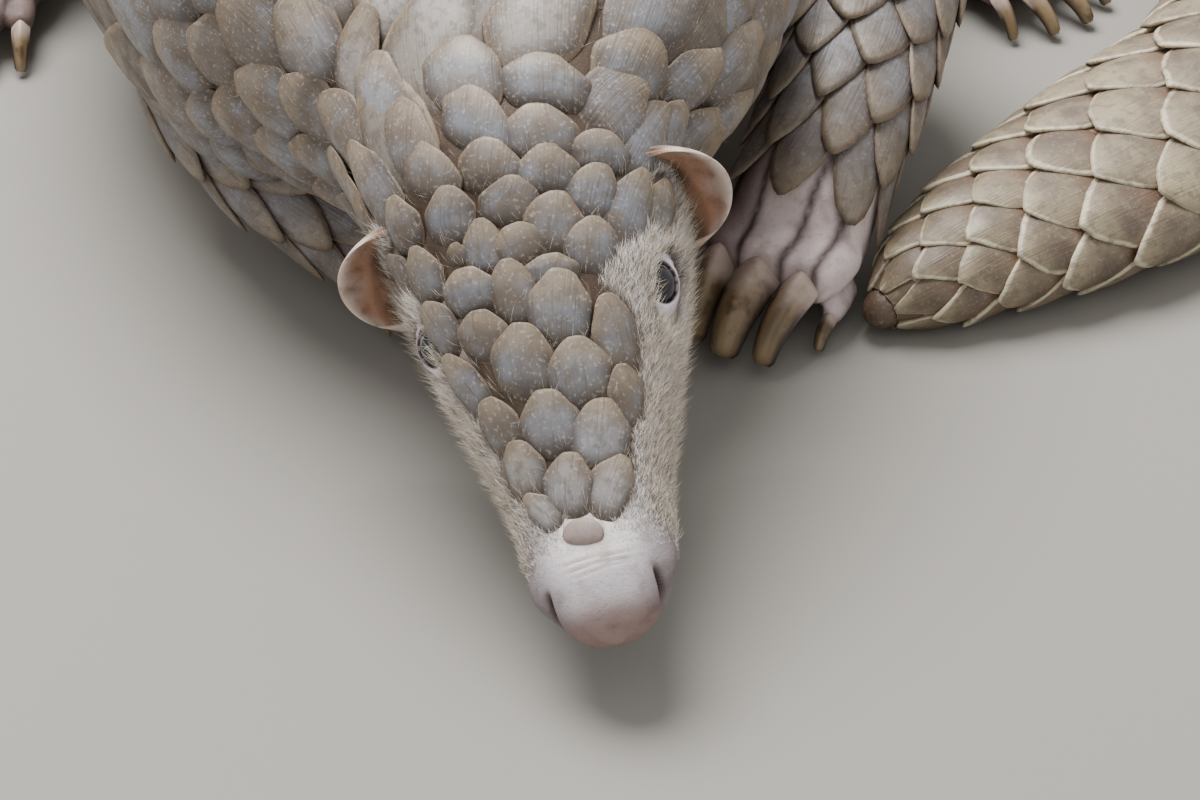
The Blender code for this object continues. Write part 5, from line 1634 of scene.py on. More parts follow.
@dataclass
class Skin:
    """The one skin of head, trunk, tail and limbs, with its folds, lips, nostrils and eye openings."""

    spine: BodyForm
    limbs: list[LimbForm]
    face: Face
    inset: float = 0.25 * MM
    sides: int = 160
    cuticle: float = 1.1
    toe_thick: float = 1.24
    toe_swell: float = 0.22
    voxel: float = 1.25 * MM
    known: tuple[Array, Array, Array] = field(init=False)

    # The creases across the nose: the distance behind its tip in centimetres, the depth in millimetres and
    # the phase of each one's waver.
    CREASES = ((1.12, 0.16, 0.0), (1.22, 0.24, 1.4), (1.34, 0.18, 2.6), (1.50, 0.08, 0.7))
    # The skin's colours by region. The crown's is a painted highlight on the top of the snout; the snout's
    # flanks, the creases, the nostrils, and the feet's inner sides, undersides and clefts take painted shade;
    # the brown between the scales is partly the skin's own and partly painted shade of the gaps.
    TONES = {
        "snout": "#c8c2c8", "crown": "#f0eaea", "flank": "#6c6163", "nose": "#8e766f", "cheek": "#b3a79d",
        "between": "#54453a", "belly": "#a8978b", "tail": "#7d6050", "foot": "#dccdce", "palm": "#77645c",
        "inner": "#5c4944", "nostril": "#574340", "crease": "#a88f86", "groove": "#36251f",
    }

    def rows(self) -> Array:
        """Returns the distances of the skin's rings, closest on the snout."""
        snout = np.arange(0.0, 3.0 * CM, 0.035 * CM)
        head = np.arange(3.0 * CM, 10.5 * CM, 0.075 * CM)
        body = np.linspace(10.5 * CM, self.spine.length, 165)
        return np.concatenate([snout, head, body])

    def lifts(self, along: Array, turn: Array) -> Array:
        """Returns how far the skin stands from the plain form at some places.

        Args:
            along: Distances along the form.
            turn: Turns round it.

        Returns:
            The lifts, which are less than 0 in a fold.
        """
        girth = self.spine.girth(along)
        lift = np.full(along.shape, -self.inset)
        for place, depth, wave in self.CREASES:
            bend = place * CM + 0.025 * CM * np.sin(14 * turn + wave) + 0.25 * CM * turn**2
            groove = np.exp(-(((along - bend) / (0.022 * CM)) ** 2)) * ramp(np.abs(turn - 0.02), 0.26, 0.10)
            lift -= depth * MM * groove
        mouth_along, mouth_turn = self.face.mouth_line()
        near = along < self.face.mouth_corner + 0.6 * CM
        apart = np.full(along.shape, 1.0)
        for spot_along, spot_turn in zip(mouth_along, mouth_turn):
            gap = np.hypot(along[near] - spot_along, (np.abs(turn[near]) - spot_turn) * girth[near])
            apart[near] = np.minimum(apart[near], gap)
        lift += 0.75 * MM * np.exp(-(((apart - 0.13 * CM) / (0.10 * CM)) ** 2))
        lift -= 1.3 * MM * np.exp(-((apart / (0.045 * CM)) ** 2))
        for side in Side:
            run = along - self.face.nostril_back
            over = (turn * side.value - self.face.nostril_turn) * girth
            slit = np.exp(-((run / (0.24 * CM)) ** 4) - (((over + 0.77 * run) / (0.055 * CM)) ** 2))
            behind, beside = (run - 0.30 * CM) / (0.36 * CM), (over - 0.16 * CM) / (0.20 * CM)
            wing = np.exp(-(behind**2) - beside**2)
            lift += 1.1 * MM * wing - 2.4 * MM * slit
            run = along - self.face.eye_back
            over = (turn * side.value - self.face.eye_turn) * girth
            round_eye = np.hypot(run / self.face.socket_long, over / self.face.socket_wide)
            lift -= 5.5 * MM * ramp(round_eye, 1.10, 0.80)
        return lift

    def spine_mesh(self) -> bmesh.types.BMesh:
        """Returns the skin along the spine, closed, and keeps the places of its points."""
        rows = self.rows()
        sheet = Sheet(len(rows) - 1, self.sides)
        along = np.interp(sheet.x, np.linspace(-1, 1, len(rows)), rows)
        points = self.spine.spot(along, sheet.y, self.lifts(along, sheet.y))
        sheet.bend(points)
        sheet.close()
        self.known = (points, along, sheet.y)
        bmesh.ops.recalc_face_normals(sheet.mesh, faces=sheet.mesh.faces[:])
        return sheet.mesh

    def limb_mesh(self, limb: LimbForm) -> bmesh.types.BMesh:
        """Returns a limb's leg, palm and toes as closed meshes that overlap.

        Args:
            limb: The limb.

        Returns:
            One bmesh of them all.
        """
        sheet = Sheet(70, 48)
        along = (sheet.x + 1) / 2 * limb.form.length
        sheet.bend(limb.form.spot(along, sheet.y, np.full(len(along), -self.inset)))
        sheet.close()
        for root, knuckle, heading, claw in limb.digits():
            thick = claw.thick * CM
            self.add_toe(sheet.mesh, root, knuckle + heading * thick * self.cuticle, thick * self.toe_thick)
        bmesh.ops.recalc_face_normals(sheet.mesh, faces=sheet.mesh.faces[:])
        return sheet.mesh

    def add_toe(self, mesh: bmesh.types.BMesh, root: Vector, knuckle: Vector, thick: float) -> None:
        """Adds a rounded toe whose end wraps the root of the claw.

        Args:
            mesh: The mesh that it is added to.
            root: Its start inside the palm.
            knuckle: Its end.
            thick: Half its thickness.
        """
        heading = (knuckle - root).normalized()
        turn = heading.to_track_quat("Z", "Y").to_matrix().to_4x4()
        length = (knuckle - root).length
        made = bmesh.ops.create_cone(
            mesh, cap_ends=True, segments=20, radius1=thick * 0.9, radius2=thick * 0.96, depth=length,
            matrix=Matrix.Translation((root + knuckle) / 2) @ turn,
        )["verts"]
        edges = {edge for vertex in made for edge in vertex.link_edges
                 if abs((edge.verts[0].co - edge.verts[1].co).normalized().dot(heading)) > 0.9}
        cut = bmesh.ops.subdivide_edges(mesh, edges=list(edges), cuts=4)
        for vertex in {part for part in cut["geom_inner"] if isinstance(part, bmesh.types.BMVert)}:
            f = (vertex.co - root).dot(heading) / length
            middle = root + heading * length * f
            swell = self.toe_swell * math.sin(math.pi * min(f, 1.0))
            vertex.co = middle + (vertex.co - middle) * (1 + swell)

    def build(self) -> None:
        """Makes the skin of the spine and joins the limbs' skins to it."""
        skin = Piece.from_bmesh("skin", self.spine_mesh())
        group = bpy.data.collections.new("limb_skins")
        bpy.context.scene.collection.children.link(group)
        for limb in self.limbs:
            thing = Piece.from_bmesh("skin_" + limb.limb.name, self.limb_mesh(limb), group)
            remesh = thing.modifiers.new("one_surface", "REMESH")
            remesh.mode = "VOXEL"
            remesh.voxel_size = self.voxel
            smooth = thing.modifiers.new("soft_folds", "SMOOTH")
            smooth.factor = 0.5
            smooth.iterations = 4
        join = skin.modifiers.new("limbs", "BOOLEAN")
        join.operation = "UNION"
        join.solver = "MANIFOLD"
        join.operand_type = "COLLECTION"
        join.collection = group
        whole = bpy.data.meshes.new_from_object(skin.evaluated_get(bpy.context.evaluated_depsgraph_get()))
        skin.modifiers.clear()
        skin.data = whole
        for thing in list(group.objects):
            bpy.data.objects.remove(thing, do_unlink=True)
        bpy.data.collections.remove(group)
        self.colour(skin)
        nodes = ["head", "neck", "torso_front", "torso_rear", "tail_1", "tail_2", "tail_3", "tail_4"]
        nodes += [kind + limb.limb.name for limb in self.limbs for kind in ("leg_", "foot_")]
        # Tough bare skin: it gives a blotched, finely creased snout and feet, and dark gaps between scales
        # whose brown is partly painted shade.
        Piece.dress(skin, SkinFinish("creased_skin", blotch=0.42).build(), "skin", *nodes)

    def colour(self, skin: bpy.types.Object) -> None:
        """Colours the skin by region: pale snout, pinkish nose and feet, brown between the scales, and
        painted highlight and shade.

        Args:
            skin: The skin's object.
        """
        points = np.zeros(len(skin.data.vertices) * 3, np.float32)
        skin.data.vertices.foreach_get("co", points)
        points = points.reshape(-1, 3).astype(float)
        along, turn = self.locate(points)
        paint = Paint(self.TONES, "between", len(points))
        self.colour_spine(paint, along, turn)
        for limb in self.limbs:
            self.colour_foot(paint, points, limb)
        Piece.tint(skin, paint.tint)

    def colour_spine(self, paint: Paint, along: Array, turn: Array) -> None:
        """Colours the head, trunk and tail, with a painted highlight on the snout's top and painted shade on
        its sides, creases and nostrils.

        Args:
            paint: The skin's colours.
            along: Each point's distance along the spine.
            turn: Its turn round the spine.
        """
        paint.lay(ramp(along, 9.5 * CM, 7.0 * CM), "cheek")
        snout = ramp(along, 3.6 * CM, 2.0 * CM)
        paint.lay(snout, "snout")
        # Painted shade: the snout's sides darker than its top.
        paint.lay(snout * ramp(np.abs(turn), 0.17, 0.44) * 0.9, "flank")
        # Painted highlight: the top of the snout's bridge nearly white.
        bridge = ramp(along, 1.0 * CM, 1.5 * CM) * ramp(along, 2.8 * CM, 2.3 * CM)
        paint.lay(ramp(np.abs(turn), 0.26, 0.10) * bridge, "crown")
        paint.lay(ramp(along + 0.6 * CM * turn**2, 0.86 * CM, 0.25 * CM) * 0.9, "nose")
        # Painted shade in the creases across the nose, the deeper the darker.
        sunk = -self.inset - self.lifts(along, turn)
        folded = ramp(along, 0.98 * CM, 1.06 * CM) * ramp(along, 1.66 * CM, 1.55 * CM)
        paint.lay(0.6 * folded * ramp(sunk, 0.05 * MM, 0.20 * MM), "crease")
        # Painted shade round each nostril's slit.
        for side in Side:
            run = along - self.face.nostril_back
            over = (turn * side.value - self.face.nostril_turn) * self.spine.girth(along)
            from_slit = np.hypot(run / (0.34 * CM), (over + 0.77 * run) / (0.10 * CM))
            paint.lay(ramp(from_slit, 1.0, 0.5), "nostril")
        # Under the head's scales the skin takes the gaps' brown, partly painted shade.
        shield = blend(SHIELD_HALF, along)
        inside = ramp(along, 2.4 * CM, 2.8 * CM) * ramp(along, 10.0 * CM, 9.0 * CM)
        across = np.abs(turn) * self.spine.girth(along)
        paint.lay(inside * ramp(across, shield, shield - 0.25 * CM), "between")
        paint.lay(ramp(along, 38 * CM, 42 * CM), "tail")
        belly = ramp(np.abs(turn), 0.66, 0.76) * ramp(along, 10 * CM, 12 * CM) * ramp(along, 42 * CM, 38 * CM)
        paint.lay(belly, "belly")

    def colour_foot(self, paint: Paint, points: Array, limb: LimbForm) -> None:
        """Colours a foot: pale toes, with painted shade inwards, underneath and between them.

        Args:
            paint: The skin's colours.
            points: The skin's points.
            limb: The foot's limb.
        """
        away = np.linalg.norm(points - limb.form.middles[-1], axis=1)
        foot = ramp(away, 3.6 * CM, 2.4 * CM)
        paint.lay(foot, "foot")
        # Darker on the side towards the body: partly the foot's own brown, partly painted shade.
        across = (points - limb.form.middles[-1]) @ np.array(limb.inward())
        paint.lay(foot * ramp(across, 0.2 * CM, 1.0 * CM) * 0.9, "inner")
        # Painted shade in the clefts between the toes.
        digits = limb.digits()
        for (root, _, heading, _), (other, _, other_heading, _) in zip(digits, digits[1:]):
            gap = points - np.array((root + other) / 2)
            way = np.array((heading + other_heading).normalized())
            ahead = gap @ way
            apart = np.linalg.norm(gap[:, :2] - np.outer(ahead, way[:2]), axis=1)
            cleft = np.exp(-((apart / (0.095 * CM)) ** 2)) * ramp(ahead, -0.9 * CM, 0.0)
            paint.lay(foot * cleft * 0.92, "groove")
        # Painted shade on the foot's lowest parts, by the floor.
        paint.lay(foot * ramp(points[:, 2], 0.8 * CM, 0.3 * CM), "palm")

    def locate(self, points: Array) -> tuple[Array, Array]:
        """Returns the place on the spine's form of the known point nearest to each point."""
        known, along, turn = self.known
        tree = tree_of(known)
        nearest = np.array([tree.find(point)[1] for point in points])
        return along[nearest], turn[nearest]


@dataclass
class Eyes:
    """The two eyeballs and the swollen lids round them."""

    face: Face
    half_long: float = 0.385 * CM
    half_wide: float = 0.30 * CM
    tilt: float = 0.13
    spare: float = 0.12 * MM
    around: int = 96
    across: int = 30
    fold: float = 0.78

    # The lids' colours from the wet edge outwards.
    LID_TONES = ("#55474c", "#d6ccd9", "#c0b4b4")

    def build(self) -> None:
        """Makes the eyeballs and lids."""
        # A clear cornea over a nearly black iris: it gives a wet bead with a sharp glint.
        wet = EyeFinish().build()
        # Thin moist skin: it gives a pale swollen ring with a dark wet edge by the eyeball.
        lid_skin = SkinFinish("pale_lid_skin", crease_mm=0.6, roughness=0.4, warmth=0.15).build()
        for side in Side:
            word = side.name.lower()
            place, outward, _, _ = self.face.eye_axes(side)
            mesh = bmesh.new()
            bmesh.ops.create_uvsphere(mesh, u_segments=48, v_segments=32, radius=self.face.eye_radius)
            middle = Vector(place - outward * self.face.eye_depth)
            bmesh.ops.translate(mesh, verts=mesh.verts[:], vec=middle)
            Piece.dress(Piece.from_bmesh("eyeball_" + word, mesh), wet, "eyes", "eye_" + word)
            Piece.dress(self.lid(side), lid_skin, "skin")

    def opening(self, side: Side, angle: Array) -> tuple[Array, Array]:
        """Finds the lids' inner edge on the eyeball, which is pointed at its rear.

        Args:
            side: Which eye.
            angle: Places round the edge, from its rear.

        Returns:
            The edge's points and the way that the eye looks.
        """
        place, outward, rearward, upward = self.face.eye_axes(side)
        gaze_turn = np.array(side.value * (self.face.eye_turn - self.tilt))
        gaze = self.face.spine.normal(np.array(self.face.eye_back), gaze_turn)
        rear = unit(rearward - gaze * (rearward @ gaze))
        up = np.cross(gaze, rear) * side.value
        x = self.half_long * np.cos(angle)
        y = self.half_wide * np.sin(angle) * (1 - 0.30 * np.cos(angle))
        radius = self.face.eye_radius + self.spare
        spread = np.minimum(np.hypot(x, y) / radius, 0.97)
        way = unit(np.outer(x, rear) + np.outer(y, up)) * spread[:, None]
        middle = place - outward * self.face.eye_depth
        return middle + radius * (way + gaze * np.sqrt(1 - spread**2)[:, None]), gaze

    def lid(self, side: Side) -> bpy.types.Object:
        """Returns the swollen ring of one eye's lids, closed underneath.

        Args:
            side: Which eye.

        Returns:
            The ring's object.
        """
        sheet = Sheet(self.around, self.across)
        angle, share = np.pi * (sheet.x + 1), (sheet.y + 1) / 2
        inner, gaze = self.opening(side, angle)
        along = self.face.eye_back + self.face.lid_long * np.cos(angle)
        arc = -self.face.lid_wide * np.sin(angle)
        turn = side.value * (self.face.eye_turn + arc / float(self.face.spine.girth(along.mean())))
        outer = self.face.spine.spot(along, turn, np.full(len(along), -0.5 * MM))
        f = np.clip(share / self.fold, 0.0, 1.0)
        under = np.clip((share - self.fold) / (1 - self.fold), 0.0, 1.0)
        low = 0.5 - 0.5 * np.sin(angle + 0.5)
        swell = 0.75 * MM * np.sin(np.pi * f**0.6) * (0.7 + 0.7 * low)
        swell += 0.10 * MM * np.sin(13 * angle + 5 * f) * np.sin(np.pi * f)
        swell -= 1.3 * MM * np.sin(np.pi * under)
        sheet.bend(inner + (outer - inner) * (f * (1 - under))[:, None] + np.outer(swell, gaze))
        thing = Piece.from_bmesh("lid_" + side.name.lower(), sheet.mesh)
        edge, core, fur = linear_rows(*self.LID_TONES)
        shade = f[:, None]
        tint = edge + (core - edge) * ramp(shade, 0.02, 0.16)
        tint = tint + (fur - tint) * ramp(shade, 0.50, 0.85)
        Piece.tint(thing, tint)
        Piece.seal(thing)
        return thing


@dataclass
class Ears:
    """The cupped ears: thin shells with a rolled pale rim and a hollow painted dark towards its root as
    shade.
    """

    face: Face
    half: float = 1.12 * CM
    reach: float = 1.02 * CM
    root: float = 0.35 * CM
    lean: float = math.radians(38.0)
    thick: float = 0.15 * CM
    spans: int = 56
    reaches: int = 30

    # The hollow's colours from its root outwards, the first painted shade deep in the cup, and those of the
    # rim and the back.
    HOLLOW_TONES = ("#4a3226", "#9c765f", "#a8968a")
    RIM_TONE = "#dccabd"
    BACK_TONE = "#9a8578"

    def build(self) -> None:
        """Makes both ears."""
        # Thin skin over gristle, with blood behind it: it gives a warm hollow, painted dark at its root as
        # shade, and a pale, soft rim.
        finish = SkinFinish("ear_skin", crease_mm=1.4, roughness=0.55, warmth=0.12, blotch=0.7).build()
        ahead = -self.face.spine.lie(np.array(self.face.ear_back), np.array(0.0))
        for side in Side:
            word, sign = side.name.lower(), side.value
            turn = np.array(sign * self.face.ear_turn)
            root = self.face.spine.spot(np.array(self.face.ear_back), turn)
            outward = self.face.spine.normal(np.array(self.face.ear_back), turn)
            level_down = unit(np.cross(outward, ahead)) * sign
            downward = level_down * math.cos(self.lean) + ahead * math.sin(self.lean)
            rearward = level_down * math.sin(self.lean) - ahead * math.cos(self.lean)
            away = unit(outward + rearward * 0.15)
            thing = self.cup("ear_shell_" + word, root, away, rearward, downward)
            Piece.dress(thing, finish, "ear_skin", "ear_" + word)

    def cup(
        self, name: str, root: Array, outward: Array, rearward: Array, downward: Array
    ) -> bpy.types.Object:
        """Makes one ear.

        Args:
            name: Its name.
            root: The middle of its root on the head.
            outward: The way that it stands out.
            rearward: The way that its back faces.
            downward: The way along its root.

        Returns:
            The ear.
        """
        span = np.linspace(-1, 1, self.spans + 1)
        lines = [(layer, f, span) for layer in range(2) for f in np.linspace(0.0, 1.0, self.reaches + 1)]
        axes = np.array([outward, downward, rearward])
        points = [root + np.stack(self.line(*line), axis=-1) @ axes for line in lines]
        thing = Piece.from_arrays(name, np.concatenate(points), self.faces())
        Piece.tint(thing, np.concatenate([self.tones(*line) for line in lines]))
        Piece.seal(thing)
        return thing

    def line(self, layer: int, f: float, span: Array) -> tuple[Array, Array, Array]:
        """Shapes one line across a side of the shell.

        Args:
            layer: 0 for the back, 1 for the hollow.
            f: The share of the way from the root to the rim.
            span: Places along the line, from -1 to 1.

        Returns:
            How far its points lie outwards, downwards and rearwards.
        """
        angle = np.pi / 2 * span
        wide = self.half * (0.80 + 0.30 * math.sin(math.pi * f * 0.8))
        rim = np.maximum(np.cos(angle), 0.0) ** 0.55
        reach = (self.reach + self.root) * f * rim - self.root
        cup = 0.42 * CM * (1 - span**2) * (1 - 0.45 * f * f)
        body = self.thick * (1 - 0.25 * f) * (1 - 0.75 * ramp(np.array(f), 0.93, 1.0) ** 2)
        body = body * (1 - 0.6 * ramp(np.abs(span), 0.95, 1.0))
        middle = cup - self.thick / 2 * (1 - 0.25 * f)
        ridge = -0.45 * MM * np.exp(-(((f - 0.55 - 0.2 * span) / 0.10) ** 2)) * layer
        wave = 0.35 * MM * np.sin(5 * span + 2.0) * f
        return reach + wave, wide * np.sin(angle), middle + (0.5 - layer) * body + ridge

    def tones(self, layer: int, f: float, span: Array) -> Array:
        """Colours one line across a side of the shell.

        Args:
            layer: 0 for the back, 1 for the hollow.
            f: The share of the way from the root to the rim.
            span: Places along the line, from -1 to 1.

        Returns:
            A colour for each place.
        """
        hollow, flush, brim = linear_rows(*self.HOLLOW_TONES)
        rim_tone, back_tone = linear_rows(self.RIM_TONE, self.BACK_TONE)
        tone = np.tile(back_tone, (len(span), 1))
        if layer:
            # The hollow is painted dark towards its root as shade deep in the cup.
            tone = hollow + (flush - hollow) * ramp(f + 0.12 * np.sin(7 * span), 0.22, 0.58)[:, None]
            tone = tone + (brim - tone) * ramp(f + 0.10 * np.sin(11 * span + 1.0), 0.62, 0.95)[:, None]
        border = np.maximum(ramp(np.array(f), 0.80, 1.0), ramp(np.abs(span), 0.82, 1.0))
        return tone + (rim_tone - tone) * (border[:, None] * 0.9)

    def faces(self) -> list[tuple[int, ...]]:
        """Returns the faces of the shell's two sides and of the band that joins them."""
        rows, columns = self.reaches + 1, self.spans + 1
        faces = []
        for layer in range(2):
            base = layer * rows * columns
            for n in range(self.reaches):
                for m in range(self.spans):
                    a = base + n * columns + m
                    faces.append((a, a + 1, a + columns + 1, a + columns))
        loop = [(0, m) for m in range(columns)] + [(n, columns - 1) for n in range(1, rows)]
        loop += [(rows - 1, m) for m in range(columns - 2, -1, -1)] + [(n, 0) for n in range(rows - 2, 0, -1)]
        numbers = [n * columns + m for n, m in loop]
        for a, b in zip(numbers, numbers[1:] + numbers[:1]):
            faces.append((a, b, b + rows * columns, a + rows * columns))
        return faces


@dataclass
class Claws:
    """All claws: curved horn with a ridge along its back, which leaves the toe and bends to a blunt point."""

    limbs: list[LimbForm]
    sides: int = 24
    rings: int = 18
    droop: float = math.radians(34.0)
    slim_root: float = 0.74
    swell_end: float = 0.28
    roof: float = 1.5
    under: float = 0.62
    blunt: float = 0.72
    buried_rings: int = 2
    buried_step: float = 0.8 * MM
    chart_gap: float = 0.1

    def build(self) -> None:
        """Makes the claws."""
        points, reaches, charts, count, names = [], [], [], 0, []
        angle = 2 * np.pi * np.arange(self.sides) / self.sides
        level = np.cos(angle)
        height = np.where(np.sin(angle) > 0, 1 - np.abs(level) ** self.roof, self.under * np.sin(angle))
        # The ridge mark: 1 along the claw's top, 0 down its sides and underneath, where the finish paints
        # shade.
        ridge = np.clip(np.sin(angle), 0.0, 1.0)
        for limb in self.limbs:
            for number, (root, knuckle, heading, claw) in enumerate(limb.digits(), 1):
                names.append("claw_%s_%d" % (limb.limb.name, number))
                count += 1
                length, thick = claw.length * CM, claw.thick * CM
                across = np.array(heading.cross(Vector((0, 0, 1))).normalized())
                ahead, up = np.array(heading), np.array((0.0, 0.0, 1.0))
                start = np.array(knuckle)
                drop = knuckle.z - thick * (1 - CLAW_TAPER) * CLAW_FLAT - CLAW_TIP_SPARE
                for step in range(-self.buried_rings, self.rings + 1):
                    f = max(step, 0) / self.rings
                    reach = length * math.sin(f * CLAW_BOW) / math.sin(CLAW_BOW)
                    middle = start + ahead * reach - up * drop * f**1.7
                    middle = middle + ahead * min(step, 0) * self.buried_step
                    full = float(ramp(np.array(f), 0.0, self.swell_end))
                    swell = self.slim_root + (1 - self.slim_root) * full
                    wide = thick * (1 - CLAW_TAPER * f**1.5) * swell
                    if step == self.rings:
                        wide *= self.blunt
                    lean = self.droop * f * 1.6
                    rise = up * math.cos(lean) + ahead * math.sin(lean)
                    ring = middle + np.outer(level * wide, across)
                    ring = ring + np.outer(height * wide, rise)
                    ring[:, 2] = np.maximum(ring[:, 2], 0.0)
                    points.append(ring)
                    reaches.append(np.full(self.sides, f))
                    run_round = angle * thick + count * self.chart_gap
                    charts.append(np.stack([run_round, np.full(self.sides, f * length)], axis=-1))
        per = self.rings + 1 + self.buried_rings
        faces = ring_faces(self.sides, per)
        faces.append(tuple(range(self.sides - 1, -1, -1)))
        faces.append(tuple((per - 1) * self.sides + n for n in range(self.sides)))
        thing = Piece.from_arrays("claw_horn", np.concatenate(points), faces, count)
        Piece.mark(thing, reach=np.concatenate(reaches), ridge=np.tile(ridge, len(reaches)))
        Piece.chart(thing, "Grain", np.concatenate(charts))
        Piece.seal(thing, merge=False)
        # Thick horn polished by digging: it gives tan ridges, streaked flanks painted dark as shade with some
        # dirt, and a low gloss.
        Piece.dress(thing, ClawFinish().build(), "claws", *names)


class HairSet(NamedTuple):
    """Roots, directions and sizes of many hairs, all arrays of one length."""

    root: Array
    outward: Array
    lie: Array
    length: Array
    width: Array
    lay_down: Array
    chart: Array


def hair_chart(along: Array, turn: Array, length: float) -> Array:
    """Returns the places of hair roots on a map of the skin, for a stretch of a length behind the nose."""
    return np.stack([(turn + 1) / 2, along / length], axis=-1)


@dataclass
class Coat:
    """Turns a set of hairs into solid three-sided tufts that bend along the lie of the coat."""

    patch: float = 0.003
    seed: int = 70

    # A tuft's points are three at its root, three half-way and its tip. These are its faces, how far up the
    # hair each point is, and the points' places on the tuft's patch of the map.
    FACES = [(0, 1, 4, 3), (1, 2, 5, 4), (2, 0, 3, 5), (3, 4, 6), (4, 5, 6), (5, 3, 6), (2, 1, 0)]
    REACH = [0, 0, 0, 0.5, 0.5, 0.5, 1.0]
    CORNERS = [(-0.5, -0.5), (0.5, -0.5), (0.0, -0.4), (-0.4, 0.0), (0.4, 0.0), (0.0, 0.1), (0.0, 0.5)]

    def build(self, name: str, hairs: HairSet) -> bpy.types.Object:
        """Makes one object of the hairs, with its OFBake map.

        Args:
            name: The object's name.
            hairs: The hairs.

        Returns:
            The object.
        """
        random = np.random.default_rng(self.seed)
        count = len(hairs.root)
        flat = hairs.lay_down[:, None]
        rise = unit(hairs.outward * (1 - flat) + hairs.lie * flat)
        bent = unit(hairs.outward * (1 - flat) * 0.45 + hairs.lie * (flat + 0.25))
        across = unit(np.cross(rise, hairs.lie + 1e-3))
        third = np.cross(rise, across)
        length, width = hairs.length[:, None], hairs.width[:, None]
        start = hairs.root - hairs.outward * 0.15 * MM
        middle = start + rise * length * 0.5
        tip = middle + bent * length * 0.5
        points = np.zeros((count, len(self.REACH), 3))
        for n in range(3):
            turn = 2 * np.pi * n / 3
            spoke = (across * math.cos(turn) + third * math.sin(turn)) * width / 2
            points[:, n] = start + spoke
            points[:, n + 3] = middle + spoke * 0.75
        points[:, 6] = tip
        points[..., 2] = np.maximum(points[..., 2], 0.0)
        thing = Piece.from_arrays(name, points.reshape(-1, 3), self.FACES, count)
        tone = np.repeat(random.uniform(0, 1, count), len(self.REACH))
        Piece.mark(thing, reach=np.tile(self.REACH, count), tone=tone)
        chart = (hairs.chart[:, None, :] + np.array(self.CORNERS)[None] * self.patch).reshape(-1, 2)
        Piece.chart(thing, "OFBake", chart)
        return thing


